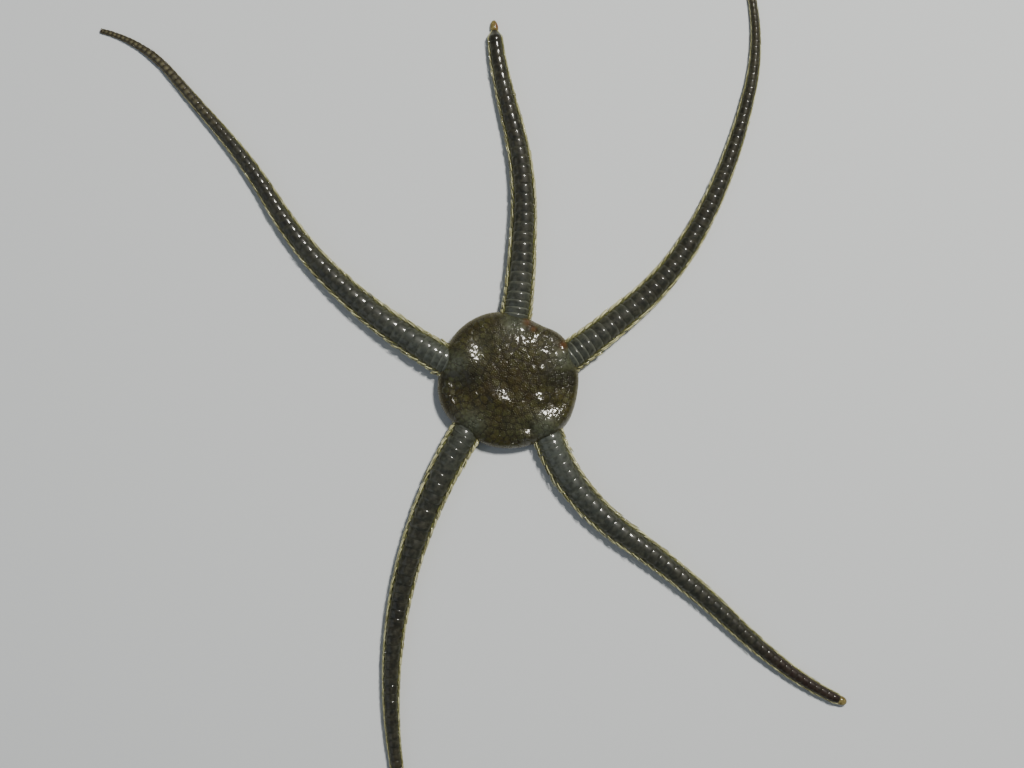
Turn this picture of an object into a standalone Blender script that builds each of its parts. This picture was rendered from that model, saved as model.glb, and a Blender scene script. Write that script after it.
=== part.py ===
"""A smooth-armed brittle star, life size and still, lying flat with its five arms spread.

Sizes are millimetres. The floor is z = 0, +Y points up the page of a view from straight
above, and the origin is the middle of the footprint, under the animal.
"""
import math

import bmesh
import bpy
import numpy as np

MM = 0.001
GAP = 0.3
SEED = 7
FLAT_ANGLE = math.radians(1.0)

# The disc: its middle from the middle of the footprint, its heights, and its outline as
# angles and radii of the lobes between the arms, with a waist at each arm
DISC_CENTRE = (5.6, 4.9)
DISC_HEIGHT = 4.5
RIM_HEIGHT = 1.5
SOLE_HEIGHT = 0.35
LOBES = ((124, 10.4), (190, 10.2), (266, 9.9), (345, 9.9), (52, 9.1))
WAIST = 9.7
DISC_STEPS = 45
CROWN_RINGS = (0.42, 0.70, 0.87, 0.96)
UNDER_RINGS = ((0.97, 0.75), (0.88, SOLE_HEIGHT))

# The scales of the crown, ring by ring from the middle: distance, number, turn of the
# first one as a share of the step, and half length and half width at the root
SCALE_RINGS = (
    (0.0, 1, 0.0, 1.12, 1.12),
    (2.0, 5, 0.0, 1.12, 1.20),
    (3.9, 10, 0.0, 1.12, 1.20),
    (5.75, 15, 0.5, 1.10, 1.16),
    (7.5, 20, 0.5, 1.06, 1.12),
)
SCALE_LIFT = 0.2
SCALE_CROWN = 0.78
SCALE_DRIFT = 0.09

# The radial shields: the scales of the outer ring that flank an arm, and how much longer
SHIELD_REACH = 0.25
SHIELD_LONG = 1.2

# The sole: an oral shield between each two arms, and the belly plates of each arm's row
ORAL_PLACE = 4.9
ORAL_SIZE = (1.35, 1.05)
BELLY_START = 3.9
BELLY_STEP = 1.9
BELLY_COUNT = 3
BELLY_SIZE = (0.86, 1.25)
SOLE_CROWN = 0.9
PLATE_SINK = 0.3
PLATE_SIDES = 6

# The mouth: a round pit in the sole, filled by five jaws that point at its middle
MOUTH_RADIUS = 3.0
MOUTH_DEPTH = 1.5
MOUTH_OPENING = 0.45
JAW_SOLE = 0.15
JAW_CORNER = math.radians(28.8)
JAW_NOSE = 0.8

# The arms: each leaves the disc at ROOT_RADIUS, through a socket cut in the rim
ROOT_RADIUS = 8.9
SOCKET_REACH = 4.0
ROUTE_STEPS = 400
HEIGHT_SHARE = 0.72
TIP_HEIGHT_SHARE = 0.86
BODY_SHARE = 0.86
TIP_SWELL = 0.5

# An arm's cross-section, as shares of its half width and of its height, from the sole up
SECTION = ((0.45, 0.0), (0.90, 0.16), (1.0, 0.48), (0.70, 0.86))

# Segments: their pitch at an arm's root, middle and tip, how far the crest of each
# lies along it, and how far the groove between two draws in
SEGMENT_PITCH = (1.8, 2.1, 1.5)
CREST_PLACE = 0.84
GROOVE_SWELL = 0.93

# Spines: one on each side of a segment, low and high in turn where the arm is wide.
# The root lies inside the side of the arm and the tip stands clear of it
SPINE_LENGTH = 1.6
SPINE_REACH = 0.95
SPINE_VARY = 0.12
SPINE_THICKNESS = 0.62
SPINE_SHARE = 0.2
SPINE_ROOT = 0.05
SPINE_SINK = 0.82
SPINE_TIP = 0.17
SPINE_RISE = 0.1
WIDE_BODY = 1.9
WIDE_ROWS = (0.32, 0.60)
NARROW_ROW = 0.46

# Name, angle of the root round the disc, length, heading at even shares of the length
# (degrees), width over the spines at the root and at the tip, how the taper bends, and
# the number of lengths that the arm is divided into
ARMS = (
    ("arm_left", 165.0, 71.0, (151, 144, 133, 121, 131, 131, 167), 5.0, 0.8, 1.12, 4),
    ("arm_top", 85.8, 42.9, (81, 86, 88, 97, 105, 102, 93), 4.65, 2.1, 0.85, 3),
    ("arm_right", 21.1, 72.0, (36, 40, 58, 69, 77, 98, 116), 4.9, 0.8, 1.18, 4),
    ("arm_low_right", -54.7, 59.0, (-74, -51, -35, -39, -44, -37, -24), 4.85, 1.6, 0.95, 4),
    ("arm_low_left", -131.7, 71.4, (-123, -113, -104, -94, -84, -78, -65), 4.95, 0.8, 0.98, 4),
)

# Finishes: linear colour and roughness
DISC_FINISH = ((0.055, 0.045, 0.022), 0.4)
ARM_FINISH = ((0.035, 0.036, 0.026), 0.4)
JAW_FINISH = ((0.40, 0.36, 0.24), 0.5)


def clear_scene():
    """Remove every object that the scene starts with."""
    for item in list(bpy.data.objects):
        bpy.data.objects.remove(item)


def make_finish(name, colour, roughness):
    """A plain finish in one linear colour."""
    finish = bpy.data.materials.new(name)
    finish.use_nodes = True
    shader = finish.node_tree.nodes["Principled BSDF"]
    shader.inputs["Base Color"].default_value = (*colour, 1.0)
    shader.inputs["Roughness"].default_value = roughness
    shader.inputs["Metallic"].default_value = 0.0
    return finish


def add_object(name, points, faces, finish=None):
    """One object from points in millimetres, with every face turned outward."""
    mesh = bpy.data.meshes.new(name)
    mesh.from_pydata((np.asarray(points) * MM).tolist(), [], faces)
    shape = bmesh.new()
    shape.from_mesh(mesh)
    bmesh.ops.recalc_face_normals(shape, faces=shape.faces)
    bmesh.ops.triangulate(shape, faces=shape.faces)
    shape.to_mesh(mesh)
    shape.free()
    if finish:
        mesh.materials.append(finish)
    item = bpy.data.objects.new(name, mesh)
    bpy.context.scene.collection.objects.link(item)
    return item


def tube_faces(rings, around, closed_start=True):
    """Faces of a tube of rings, each with the same number of points, closed at its end."""
    faces = []
    for ring in range(rings - 1):
        low, high = ring * around, (ring + 1) * around
        for point in range(around):
            after = (point + 1) % around
            faces.append((low + point, low + after, high + after, high + point))
    if closed_start:
        faces.append(tuple(range(around)))
    faces.append(tuple(range((rings - 1) * around, rings * around)))
    return faces


def tidy_surface(item):
    """Merge level faces and keep only the largest closed surface of an object."""
    shape = bmesh.new()
    shape.from_mesh(item.data)
    bmesh.ops.dissolve_limit(shape, angle_limit=FLAT_ANGLE, verts=shape.verts, edges=shape.edges)
    bmesh.ops.triangulate(shape, faces=shape.faces)
    left = set(shape.faces)
    shells = []
    while left:
        shell, front = set(), [left.pop()]
        while front:
            face = front.pop()
            shell.add(face)
            near = {other for edge in face.edges for other in edge.link_faces} & left
            left -= near
            front += near
        shells.append(shell)
    shells.sort(key=lambda shell: sum(face.calc_area() for face in shell))
    for shell in shells[:-1]:
        bmesh.ops.delete(shape, geom=list(shell), context="FACES")
    shape.to_mesh(item.data)
    shape.free()


def combine(item, pieces, operation):
    """Join closed pieces to an object, or cut them from it, and remove them."""
    group = bpy.data.collections.new("pieces")
    for piece in pieces:
        group.objects.link(piece)
    step = item.modifiers.new("combine", "BOOLEAN")
    step.operation = operation
    step.operand_type = "COLLECTION"
    step.collection = group
    step.solver = "EXACT"
    seen = item.evaluated_get(bpy.context.evaluated_depsgraph_get())
    item.data = bpy.data.meshes.new_from_object(seen)
    item.modifiers.clear()
    for piece in pieces:
        bpy.data.objects.remove(piece)
    bpy.data.collections.remove(group)
    tidy_surface(item)


class Arm:
    """An arm's middle line and its widths, read at any distance from its root."""

    def __init__(self, name, root_angle, length, headings, root_width, tip_width, taper, parts):
        self.name = name
        self.root_angle = math.radians(root_angle)
        self.length = length
        self.root_width = root_width
        self.tip_width = tip_width
        self.taper = taper
        self.parts = parts
        self.steps = np.linspace(0.0, length, ROUTE_STEPS + 1)
        readings = np.linspace(0.0, length, len(headings))
        self.heading = np.radians(np.interp(self.steps, readings, headings))
        middle = (self.heading[1:] + self.heading[:-1]) / 2
        stride = length / ROUTE_STEPS
        start_x = DISC_CENTRE[0] + ROOT_RADIUS * math.cos(self.root_angle)
        start_y = DISC_CENTRE[1] + ROOT_RADIUS * math.sin(self.root_angle)
        self.x = start_x + np.concatenate(([0.0], np.cumsum(np.cos(middle)))) * stride
        self.y = start_y + np.concatenate(([0.0], np.cumsum(np.sin(middle)))) * stride

    def at(self, distance):
        """Point on the floor under the middle line, with the directions along and left."""
        x, y = (np.interp(distance, self.steps, row) for row in (self.x, self.y))
        turn = np.interp(distance, self.steps, self.heading)
        along = np.array((math.cos(turn), math.sin(turn), 0.0))
        left = np.array((-math.sin(turn), math.cos(turn), 0.0))
        return np.array((x, y, 0.0)), along, left

    def width(self, distance):
        """Width of the arm's body, without its spines."""
        rest = 1.0 - distance / self.length
        spread = self.root_width - self.tip_width
        return BODY_SHARE * (self.tip_width + spread * rest**self.taper)

    def height(self, distance):
        """Height of the arm's body."""
        share = np.interp(distance / self.length, (0.0, 1.0), (HEIGHT_SHARE, TIP_HEIGHT_SHARE))
        return share * self.width(distance)

    def ring(self, distance, swell):
        """Points of one cross-section, up the right side, over the ridge and down the left."""
        middle, _, left = self.at(distance)
        half = self.width(distance) / 2 * swell
        high = self.height(distance) * swell
        outline = [(-y, z) for y, z in SECTION] + [(0.0, 1.0)] + list(SECTION[::-1])
        return [middle + left * half * y + np.array((0.0, 0.0, high * z)) for y, z in outline]


def make_spine(arm, root, tip, side, height_share, chance):
    """A three-sided spine that lies back along the arm's side, thinning to its tip."""
    thickness = min(SPINE_THICKNESS, SPINE_SHARE * arm.width(root))
    far = arm.width(tip) / 2 + arm.width(root) * (1.0 / BODY_SHARE - 1.0) / 2
    ends = (
        (root, arm.width(root) / 2 * SPINE_SINK, 0.5, 1.0),
        (tip, far - SPINE_TIP * thickness, SPINE_TIP, 1.0 + SPINE_RISE * chance),
    )
    points = []
    for distance, reach, radius, lift in ends:
        middle, _, left = arm.at(distance)
        rise = arm.height(distance) * height_share * lift
        for turn in (math.pi / 3, math.pi, math.pi * 5 / 3):
            out = reach + math.cos(turn) * radius * thickness
            up = rise + math.sin(turn) * radius * thickness
            points.append(middle + left * side * out + np.array((0.0, 0.0, up)))
    return add_object("spine", points, tube_faces(len(ends), 3))


def segment_spines(arm, number, edge, pitch, end, draw):
    """The spines of one segment, one on each side, none past the end of the arm's length."""
    spines = []
    for side in (-1, 1):
        wide = arm.width(edge) > WIDE_BODY
        row = WIDE_ROWS[(number + (side > 0)) % len(WIDE_ROWS)] if wide else NARROW_ROW
        chance = draw.uniform(-1.0, 1.0)
        root = edge + SPINE_ROOT * pitch
        tip = root + min(SPINE_LENGTH, SPINE_REACH * pitch) * (1.0 + SPINE_VARY * chance)
        spines.append(make_spine(arm, root, min(tip, end), side, row, chance))
    return spines


def arm_length(arm, index, finish, draw):
    """One nearly straight length of an arm: a ringed body with its spines joined to it."""
    first, last = index == 0, index == arm.parts - 1
    start = arm.length * index / arm.parts + (GAP if first else GAP / 2)
    end = arm.length * (index + 1) / arm.parts - (0.0 if last else GAP / 2)
    pitch = np.interp((start + end) / 2 / arm.length, (0.0, 0.5, 1.0), SEGMENT_PITCH)
    count = round((end - start) / pitch)
    pitch = (end - start) / count
    edges = start + pitch * np.arange(count)
    points = []
    for edge in edges:
        points += arm.ring(edge, GROOVE_SWELL) + arm.ring(edge + CREST_PLACE * pitch, 1.0)
    points += arm.ring(end, TIP_SWELL if last else GROOVE_SWELL)
    around = 2 * len(SECTION) + 1
    body = add_object(f"{arm.name}_{index + 1}", points, tube_faces(2 * count + 1, around), finish)
    spines = []
    for number, edge in enumerate(edges):
        spines += segment_spines(arm, number, edge, pitch, end, draw)
    combine(body, spines, "UNION")


def arm_socket(arm):
    """A box that clears the arm's root out of the disc's rim."""
    middle, along, left = arm.at(0.0)
    half = arm.width(0.0) / 2 + GAP
    points = []
    for height in (-SOLE_HEIGHT, DISC_HEIGHT + SOLE_HEIGHT):
        for out, side in ((0.0, -half), (SOCKET_REACH, -half), (SOCKET_REACH, half), (0.0, half)):
            points.append(middle + along * out + left * side + np.array((0.0, 0.0, height)))
    return add_object("socket", points, tube_faces(2, 4))


def disc_radius(angles):
    """Outline of the disc: a lobe between each two arms and a waist at each arm."""
    knots = [(angle % 360, radius) for angle, radius in LOBES]
    knots += [(arm[1] % 360, WAIST) for arm in ARMS]
    turns, radii = zip(*sorted(knots))
    return np.interp(angles, turns, radii, period=360)


def crown_height(share):
    """Height of the disc's upper side at a share of its outline."""
    return RIM_HEIGHT + (DISC_HEIGHT - RIM_HEIGHT) * math.sqrt(1.0 - share**3)


def disc_body(finish):
    """The disc: a domed crown, a round rim and a flat sole with the mouth's pit in it."""
    angles = np.arange(DISC_STEPS) * 360 / DISC_STEPS
    outline = disc_radius(angles)
    mouth = np.full(DISC_STEPS, MOUTH_RADIUS)
    levels = [(outline * share, crown_height(share)) for share in CROWN_RINGS + (1.0,)]
    levels += [(outline * share, height) for share, height in UNDER_RINGS]
    levels += [(mouth, SOLE_HEIGHT), (mouth, MOUTH_DEPTH)]
    turn = np.radians(angles)
    points = []
    for radii, height in levels:
        x = DISC_CENTRE[0] + radii * np.cos(turn)
        y = DISC_CENTRE[1] + radii * np.sin(turn)
        points += list(zip(x, y, np.full(DISC_STEPS, height)))
    faces = tube_faces(len(levels), DISC_STEPS, closed_start=False)
    top = len(points)
    points.append((*DISC_CENTRE, DISC_HEIGHT))
    faces += [(top, step, (step + 1) % DISC_STEPS) for step in range(DISC_STEPS)]
    return add_object("disc", points, faces, finish)


def make_plate(middle, along, across, normal, size, raised, crown):
    """A low six-sided plate on a surface, its root sunk and its top flat."""
    turns = np.arange(PLATE_SIDES) * 2 * math.pi / PLATE_SIDES
    rim = np.outer(np.cos(turns) * size[0], along) + np.outer(np.sin(turns) * size[1], across)
    root = middle + rim - normal * PLATE_SINK
    top = middle + rim * crown + normal * raised
    return add_object("plate", np.vstack((root, top)), tube_faces(2, PLATE_SIDES))


def sole_plates(arms):
    """Oral shields between the arms, and the belly plates from each arm to the mouth."""
    down = np.array((0.0, 0.0, -1.0))
    centre = np.array((*DISC_CENTRE, SOLE_HEIGHT))
    spots = [(math.radians(angle), ORAL_PLACE, ORAL_SIZE) for angle, _ in LOBES]
    for arm in arms:
        for step in range(BELLY_COUNT):
            spots.append((arm.root_angle, BELLY_START + BELLY_STEP * step, BELLY_SIZE))
    plates = []
    for turn, reach, size in spots:
        along = np.array((math.cos(turn), math.sin(turn), 0.0))
        across = np.array((-math.sin(turn), math.cos(turn), 0.0))
        middle = centre + along * reach
        plates.append(make_plate(middle, along, across, down, size, SOLE_HEIGHT, SOLE_CROWN))
    return plates


def crown_frame(place, turn):
    """Point of the crown above a place, with the directions outward, across and normal."""
    reach = math.hypot(*place)
    radius = float(disc_radius(math.degrees(math.atan2(place[1], place[0]))))
    step = 0.01
    height = crown_height(reach / radius)
    slope = (crown_height(reach / radius + step) - height) / (step * radius)
    outward = np.array((math.cos(turn), math.sin(turn), slope)) / math.hypot(1.0, slope)
    across = np.array((-math.sin(turn), math.cos(turn), 0.0))
    middle = np.array((DISC_CENTRE[0] + place[0], DISC_CENTRE[1] + place[1], height))
    return middle, outward, across, np.cross(outward, across)


def crown_scales(arms, draw):
    """The scales of the crown, in rings that follow the arms, with a pair of shields at each."""
    roots = sorted(math.degrees(arm.root_angle) for arm in arms)
    turns = roots + [roots[0] + 360.0]
    plates = []
    for ring, (reach, number, first, half_long, half_wide) in enumerate(SCALE_RINGS):
        for step in range(number):
            fifths = (step + first) * len(roots) / number
            beside_arm = not SHIELD_REACH < fifths % 1.0 < 1.0 - SHIELD_REACH
            shield = beside_arm and ring == len(SCALE_RINGS) - 1
            turn = math.radians(np.interp(fifths, np.arange(len(turns)), turns))
            drift = draw.uniform(-SCALE_DRIFT, SCALE_DRIFT, 3)
            place = np.array((math.cos(turn), math.sin(turn))) * reach + drift[:2]
            middle, outward, across, normal = crown_frame(place, turn)
            size = (half_long * (SHIELD_LONG if shield else 1.0) * (1.0 + drift[2]), half_wide)
            plates.append(make_plate(middle, outward, across, normal, size, SCALE_LIFT, SCALE_CROWN))
    return plates


def make_jaw(index, finish):
    """A wedge that points at the middle of the mouth, between the rows of two arms."""
    outer = MOUTH_RADIUS - GAP
    span = math.pi / len(LOBES)
    slack = GAP / 2 / math.sin(span)
    corner_x = outer * math.cos(JAW_CORNER)
    corner_y = (corner_x - slack) * math.tan(span)
    nose_x = MOUTH_OPENING + slack
    nose_y = MOUTH_OPENING * math.tan(span) * JAW_NOSE
    outline = np.array((
        (nose_x, -nose_y), (corner_x, -corner_y), (outer, 0.0), (corner_x, corner_y), (nose_x, nose_y)))
    facing = math.radians(LOBES[0][0]) + index * 2 * span
    turned = outline @ np.array((
        (math.cos(facing), math.sin(facing)), (-math.sin(facing), math.cos(facing))))
    points = []
    for height in (JAW_SOLE, MOUTH_DEPTH - GAP):
        points += [(*spot, height) for spot in turned + DISC_CENTRE]
    add_object(f"jaw_{index + 1}", points, tube_faces(2, len(outline)), finish)


def make_disc(arms, finish, draw):
    """The disc with its scales and sole plates joined to it and the arms' sockets cut."""
    disc = disc_body(finish)
    combine(disc, sole_plates(arms) + crown_scales(arms, draw), "UNION")
    combine(disc, [arm_socket(arm) for arm in arms], "DIFFERENCE")


def main():
    """Build the disc, its jaws and the arms."""
    clear_scene()
    draw = np.random.default_rng(SEED)
    arms = [Arm(*row) for row in ARMS]
    make_disc(arms, make_finish("disc_scales", *DISC_FINISH), draw)
    jaw_finish = make_finish("jaw_plates", *JAW_FINISH)
    for index in range(len(LOBES)):
        make_jaw(index, jaw_finish)
    arm_finish = make_finish("arm_plates", *ARM_FINISH)
    for arm in arms:
        for index in range(arm.parts):
            arm_length(arm, index, arm_finish, draw)


main()
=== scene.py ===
# %% [markdown]
# A smooth-armed brittle star, wet and lying flat
#
# A brittle star is a small round body, the disc, with five long arms made of rings. Every ring of
# an arm is four plates of chalk under a thin skin: one on the back, one on each side, one on the
# belly. The side plates carry a fan of short spines. The solids of the frame hold the pose and the
# real size; this lesson grows the fine surface over them. The frame is loaded first.

# %% The fixed frame
import math

import bpy
import numpy as np
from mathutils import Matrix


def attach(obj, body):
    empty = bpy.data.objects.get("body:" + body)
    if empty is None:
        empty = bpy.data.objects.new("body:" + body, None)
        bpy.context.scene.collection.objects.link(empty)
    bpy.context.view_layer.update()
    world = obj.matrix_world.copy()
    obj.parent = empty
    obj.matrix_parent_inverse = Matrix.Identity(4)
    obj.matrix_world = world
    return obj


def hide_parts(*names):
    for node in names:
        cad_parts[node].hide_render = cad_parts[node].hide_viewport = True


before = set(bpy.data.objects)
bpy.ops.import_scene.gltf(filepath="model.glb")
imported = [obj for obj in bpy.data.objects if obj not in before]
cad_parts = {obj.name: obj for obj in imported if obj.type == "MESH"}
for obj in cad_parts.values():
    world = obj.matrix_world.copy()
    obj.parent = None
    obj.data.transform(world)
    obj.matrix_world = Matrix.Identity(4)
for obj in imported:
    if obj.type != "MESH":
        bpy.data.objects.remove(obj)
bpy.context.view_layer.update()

MM = 0.001

# %% [markdown]
# The camera
#
# The picture was taken from straight above, and one of its pixels is 0.1441 mm at the height of the
# arms. The camera's distance follows from its lens: what the sensor sees at that height has to be as
# wide as the picture. It looks down on the middle of the picture, which lies a little to the lower
# right of the middle of the disc.

# %% The camera over the animal
DISC_CENTRE = np.array((5.6, 4.9))
MM_PER_PIXEL = 0.1441
PICTURE = (1024, 768)
DISC_PIXEL = (511, 380)
ARM_LEVEL = 0.8
LENS = 85.0
SENSOR = 36.0

look_at = DISC_CENTRE + MM_PER_PIXEL * np.array(
    (PICTURE[0] / 2 - DISC_PIXEL[0], DISC_PIXEL[1] - PICTURE[1] / 2))
distance = PICTURE[0] * MM_PER_PIXEL * LENS / SENSOR
camera_data = bpy.data.cameras.new("camera")
camera_data.lens = LENS
camera_data.sensor_width = SENSOR
camera_data.clip_start = 0.01
camera = bpy.data.objects.new("camera", camera_data)
camera.location = (look_at[0] * MM, look_at[1] * MM, (ARM_LEVEL + distance) * MM)
bpy.context.scene.collection.objects.link(camera)
bpy.context.scene.camera = camera
print("camera height in mm:", round(ARM_LEVEL + distance, 1))

# %% [markdown]
# Colours and shader nodes
#
# Colours are written as sRGB hex values, as a paint program shows them, while a shader adds up
# light, so each one is turned to linear first. A material is a small graph; a helper that adds one
# node with its settings and links keeps each finish short enough to read at once.

# %% Colour and node helpers
def linear(code):
    """Linear colour of a hex code: values over 0.04 are raised to 2.4 after a small offset."""
    value = np.array([int(code[i:i + 2], 16) for i in (1, 3, 5)]) / 255
    lit = np.where(value > 0.04045, ((value + 0.055) / 1.055) ** 2.4, value / 12.92)
    return (*lit.tolist(), 1.0)


def add_node(tree, kind, settings=None, **inputs):
    """One node of a kind: settings are its own fields, inputs are values or other nodes' sockets.
    An input is named by its socket's name with _ for spaces, or by _ and its number."""
    node = tree.nodes.new(kind)
    for key, value in (settings or {}).items():
        setattr(node, key, value)
    for key, value in inputs.items():
        socket = node.inputs[int(key[1:])] if key[0] == "_" else node.inputs[key.replace("_", " ")]
        if isinstance(value, bpy.types.NodeSocket):
            tree.links.new(value, socket)
        else:
            socket.default_value = value
    return node


print("linear mid grey:", round(linear("#808080")[0], 3))

# %% [markdown]
# Meshes from whole arrays
#
# Every piece is a set of points worked out at once by numpy and a list of faces. Thousands of plates
# or spines are one small closed shape, copied: its points are an array with one row for each copy,
# and its faces are the same index rows, moved on by the points that come before. The map named
# OFBake gives each small form its own tiny patch at the place of its root on the unrolled skin.

# %% Mesh helpers
PATCH = 0.003
# How many mm of the disc the whole map spans
MAP_SPAN = 24.0
SIDES = (-1, 1)


def even_turns(count, start=0.0):
    """Even turns round a circle. Grids that cross have different starts, so that no edge of one
    falls on an edge of the other."""
    return np.linspace(0, 2 * math.pi, count, endpoint=False) + start


def step_by(turn, along, aside):
    """The x and y of a step along a direction and a step to its left. A minus turn undoes it."""
    return along * np.cos(turn) - aside * np.sin(turn), along * np.sin(turn) + aside * np.cos(turn)


def add_piece(name, points, faces, marks=None, patches=None):
    """One object from points in mm, index rows of faces, and values for each point."""
    points = np.asarray(points, float).reshape(-1, 3)
    loops = np.concatenate([rows.ravel() for rows in faces]).astype(np.int32)
    sizes = np.concatenate([np.full(len(rows), rows.shape[1]) for rows in faces])
    mesh = bpy.data.meshes.new(name)
    mesh.vertices.add(len(points))
    mesh.vertices.foreach_set("co", (points * MM).astype(np.float32).ravel())
    mesh.loops.add(len(loops))
    mesh.loops.foreach_set("vertex_index", loops)
    mesh.polygons.add(len(sizes))
    mesh.polygons.foreach_set("loop_start", (np.cumsum(sizes) - sizes).astype(np.int32))
    mesh.update(calc_edges=True)
    mesh.shade_smooth()
    if patches is not None:
        uv = np.asarray(patches, np.float32).reshape(-1, 2)[loops]
        mesh.uv_layers.new(name="OFBake").data.foreach_set("uv", uv.ravel())
    piece = bpy.data.objects.new(name, mesh)
    bpy.context.scene.collection.objects.link(piece)
    store_marks(piece, marks or {})
    print(f"{name}: {len(points)} points, {int((sizes - 2).sum())} triangles")
    return piece


def store_marks(piece, marks):
    """Keep named values for each point of a piece, which its finish then reads."""
    for key, values in marks.items():
        values = np.broadcast_to(values, len(piece.data.vertices)).astype(np.float32)
        piece.data.attributes.new(key, "FLOAT", "POINT").data.foreach_set("value", values)


def copies(shape, count):
    """Face rows of many copies of a shape, each moved on by the points of those before it."""
    step = np.arange(count)[:, None, None] * len(shape["a"])
    return [(rows[None] + step).reshape(-1, rows.shape[1]) for rows in shape["faces"]]


def patch_at(u, v, shape):
    """Patches of a shape's copies: the root's place, plus a tiny copy of the shape's outline."""
    half = PATCH / 2
    return np.stack((u[:, None] + half * shape["a"], v[:, None] + half * shape["b"]), axis=-1)


def disc_patches(x, y, shape):
    """Patches of forms on the disc, at places in mm from its middle, as a map seen from above."""
    return patch_at(0.5 + x / MAP_SPAN, 0.5 + y / MAP_SPAN, shape)


def set_on(shape, roots, ways, wide, lift, aid):
    """Copies of a shape at roots along unit directions. The lift goes along the direction; a and b
    times the width lie square to it, on the cross products with a fixed aid and with each other."""
    side = np.cross(ways, np.array(aid))
    side /= np.linalg.norm(side, axis=1, keepdims=True)
    other = np.cross(ways, side)
    return (roots[:, None] + shape["a"][:, None] * wide * side[:, None]
            + shape["b"][:, None] * wide * other[:, None] + lift * ways[:, None])


# %% [markdown]
# The small shapes that everything repeats
#
# A plate is a pillow: a top sheet and an under sheet that share their border, so it is closed
# whatever surface it is bent over. A grain is a low dome with a closed foot. A spine is a tapered
# tube with a blunt end. They are made once, in their own coordinates from -1 to 1, with only a few
# dozen faces, because each is repeated hundreds or thousands of times.

# %% Plate, grain and spine shapes
EDGE_STEP = 0.35


def pillow(rows, columns, corner, flat=4):
    """Closed plate. a runs along and b across, from -1 to 1, with the corners drawn in by a share
    of the other's square; c is the lift: the root of (1 - a^flat)(1 - b^4), negative below."""
    def edge_steps(count):
        inner = np.linspace(-1, 1, count - 2) * (1 - EDGE_STEP / (count - 2))
        return np.concatenate(([-1.0], inner, [1.0]))
    u, v = np.meshgrid(edge_steps(rows), edge_steps(columns), indexing="ij")
    lift = np.sqrt((1 - np.abs(u) ** flat) * (1 - v**4))
    a, b = u * np.sqrt(1 - corner * v**2), v * np.sqrt(1 - corner * u**2)
    top = np.arange(rows * columns).reshape(rows, columns)
    under = top.copy()
    under[1:-1, 1:-1] = rows * columns + np.arange((rows - 2) * (columns - 2)).reshape(rows - 2, -1)
    def sheet(grid):
        return np.stack((grid[:-1, :-1], grid[1:, :-1], grid[1:, 1:], grid[:-1, 1:]), -1).reshape(-1, 4)
    inside = (slice(1, -1), slice(1, -1))
    return {
        "a": np.concatenate((a.ravel(), a[inside].ravel())),
        "b": np.concatenate((b.ravel(), b[inside].ravel())),
        "c": np.concatenate((lift.ravel(), -lift[inside].ravel())),
        "faces": [sheet(top), sheet(under)[:, ::-1]],
    }


def turned(profile, around):
    """Closed round shape from a profile of (radius, lift) pairs, top first: its two ends are single
    points and each pair between is a ring. a and b are the radius times cosine and sine."""
    profile = np.array(profile)
    turn = np.arange(around) * 2 * math.pi / around
    rings = len(profile) - 2
    radius, lift = profile[1:-1, 0], profile[1:-1, 1]
    a = np.concatenate(([0.0], np.outer(radius, np.cos(turn)).ravel(), [0.0]))
    b = np.concatenate(([0.0], np.outer(radius, np.sin(turn)).ravel(), [0.0]))
    c = np.concatenate(([profile[0, 1]], np.repeat(lift, around), [profile[-1, 1]]))
    ring = 1 + np.arange(rings * around).reshape(rings, around)
    after = np.roll(ring, -1, axis=1)
    sides = np.stack((ring[:-1], ring[1:], after[1:], after[:-1]), -1).reshape(-1, 4)
    first = np.stack((np.zeros(around, int), ring[0], after[0]), -1)
    last = np.stack((np.full(around, rings * around + 1), after[-1], ring[-1]), -1)
    return {"a": a, "b": b, "c": c, "faces": [sides, first, last]}


GRAIN = turned([(0, 1.0), (0.6, 0.72), (1.0, 0.0), (0, -1.2)], 6)
SPINE = turned([(0, 1.0), (0.34, 0.97), (0.70, 0.72), (0.96, 0.32), (0.80, 0.0), (0, -0.06)], 6)
PLATE = pillow(7, 7, 0.16)
BACK_PLATE = pillow(7, 7, 0.16, 11)
SMALL_PLATE = pillow(6, 6, 0.24)
OVAL_PLATE = pillow(6, 6, 0.5)
print("faces of a plate, grain, spine:",
      [sum(len(rows) for rows in shape["faces"]) for shape in (PLATE, GRAIN, SPINE)])

# %% [markdown]
# The arms' routes
#
# Each arm lies on the floor in its own slow curve. The route is a heading that changes evenly between
# a few readings, summed up step by step, as a ship's track is worked out from its log: that is smooth,
# never doubles back, and has exactly the arm's real length. Width and height fall from root to tip.

# %% Arm routes and widths
ROOT_RADIUS = 8.9
ROUTE_STEPS = 400
BODY_SHARE = 0.90
HEIGHT_SHARE = (0.69, 0.82)
# Near its root an arm is a little lower, where it runs in under the disc: distances and shares
ROOT_DIP = ((0.0, 2.5), (0.90, 1.0))
WAIST_SHARE = 0.48
BELLY_POWER = 3.1
# Name, root angle, length, headings from root to tip, width at root and tip, taper, number of nodes
ARMS = (
    ("arm_left", 165.0, 71.0, (151, 144, 133, 121, 131, 131, 167), 5.0, 0.8, 1.12, 4),
    ("arm_top", 85.8, 42.9, (81, 86, 88, 97, 105, 102, 93), 4.65, 2.1, 0.85, 3),
    ("arm_right", 21.1, 72.0, (36, 40, 58, 69, 77, 98, 116), 4.9, 0.8, 1.18, 4),
    ("arm_low_right", -54.7, 59.0, (-74, -51, -35, -39, -44, -37, -24), 4.85, 1.6, 0.95, 4),
    ("arm_low_left", -131.7, 71.4, (-123, -113, -104, -94, -84, -78, -65), 4.95, 0.8, 0.98, 4),
)
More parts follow.
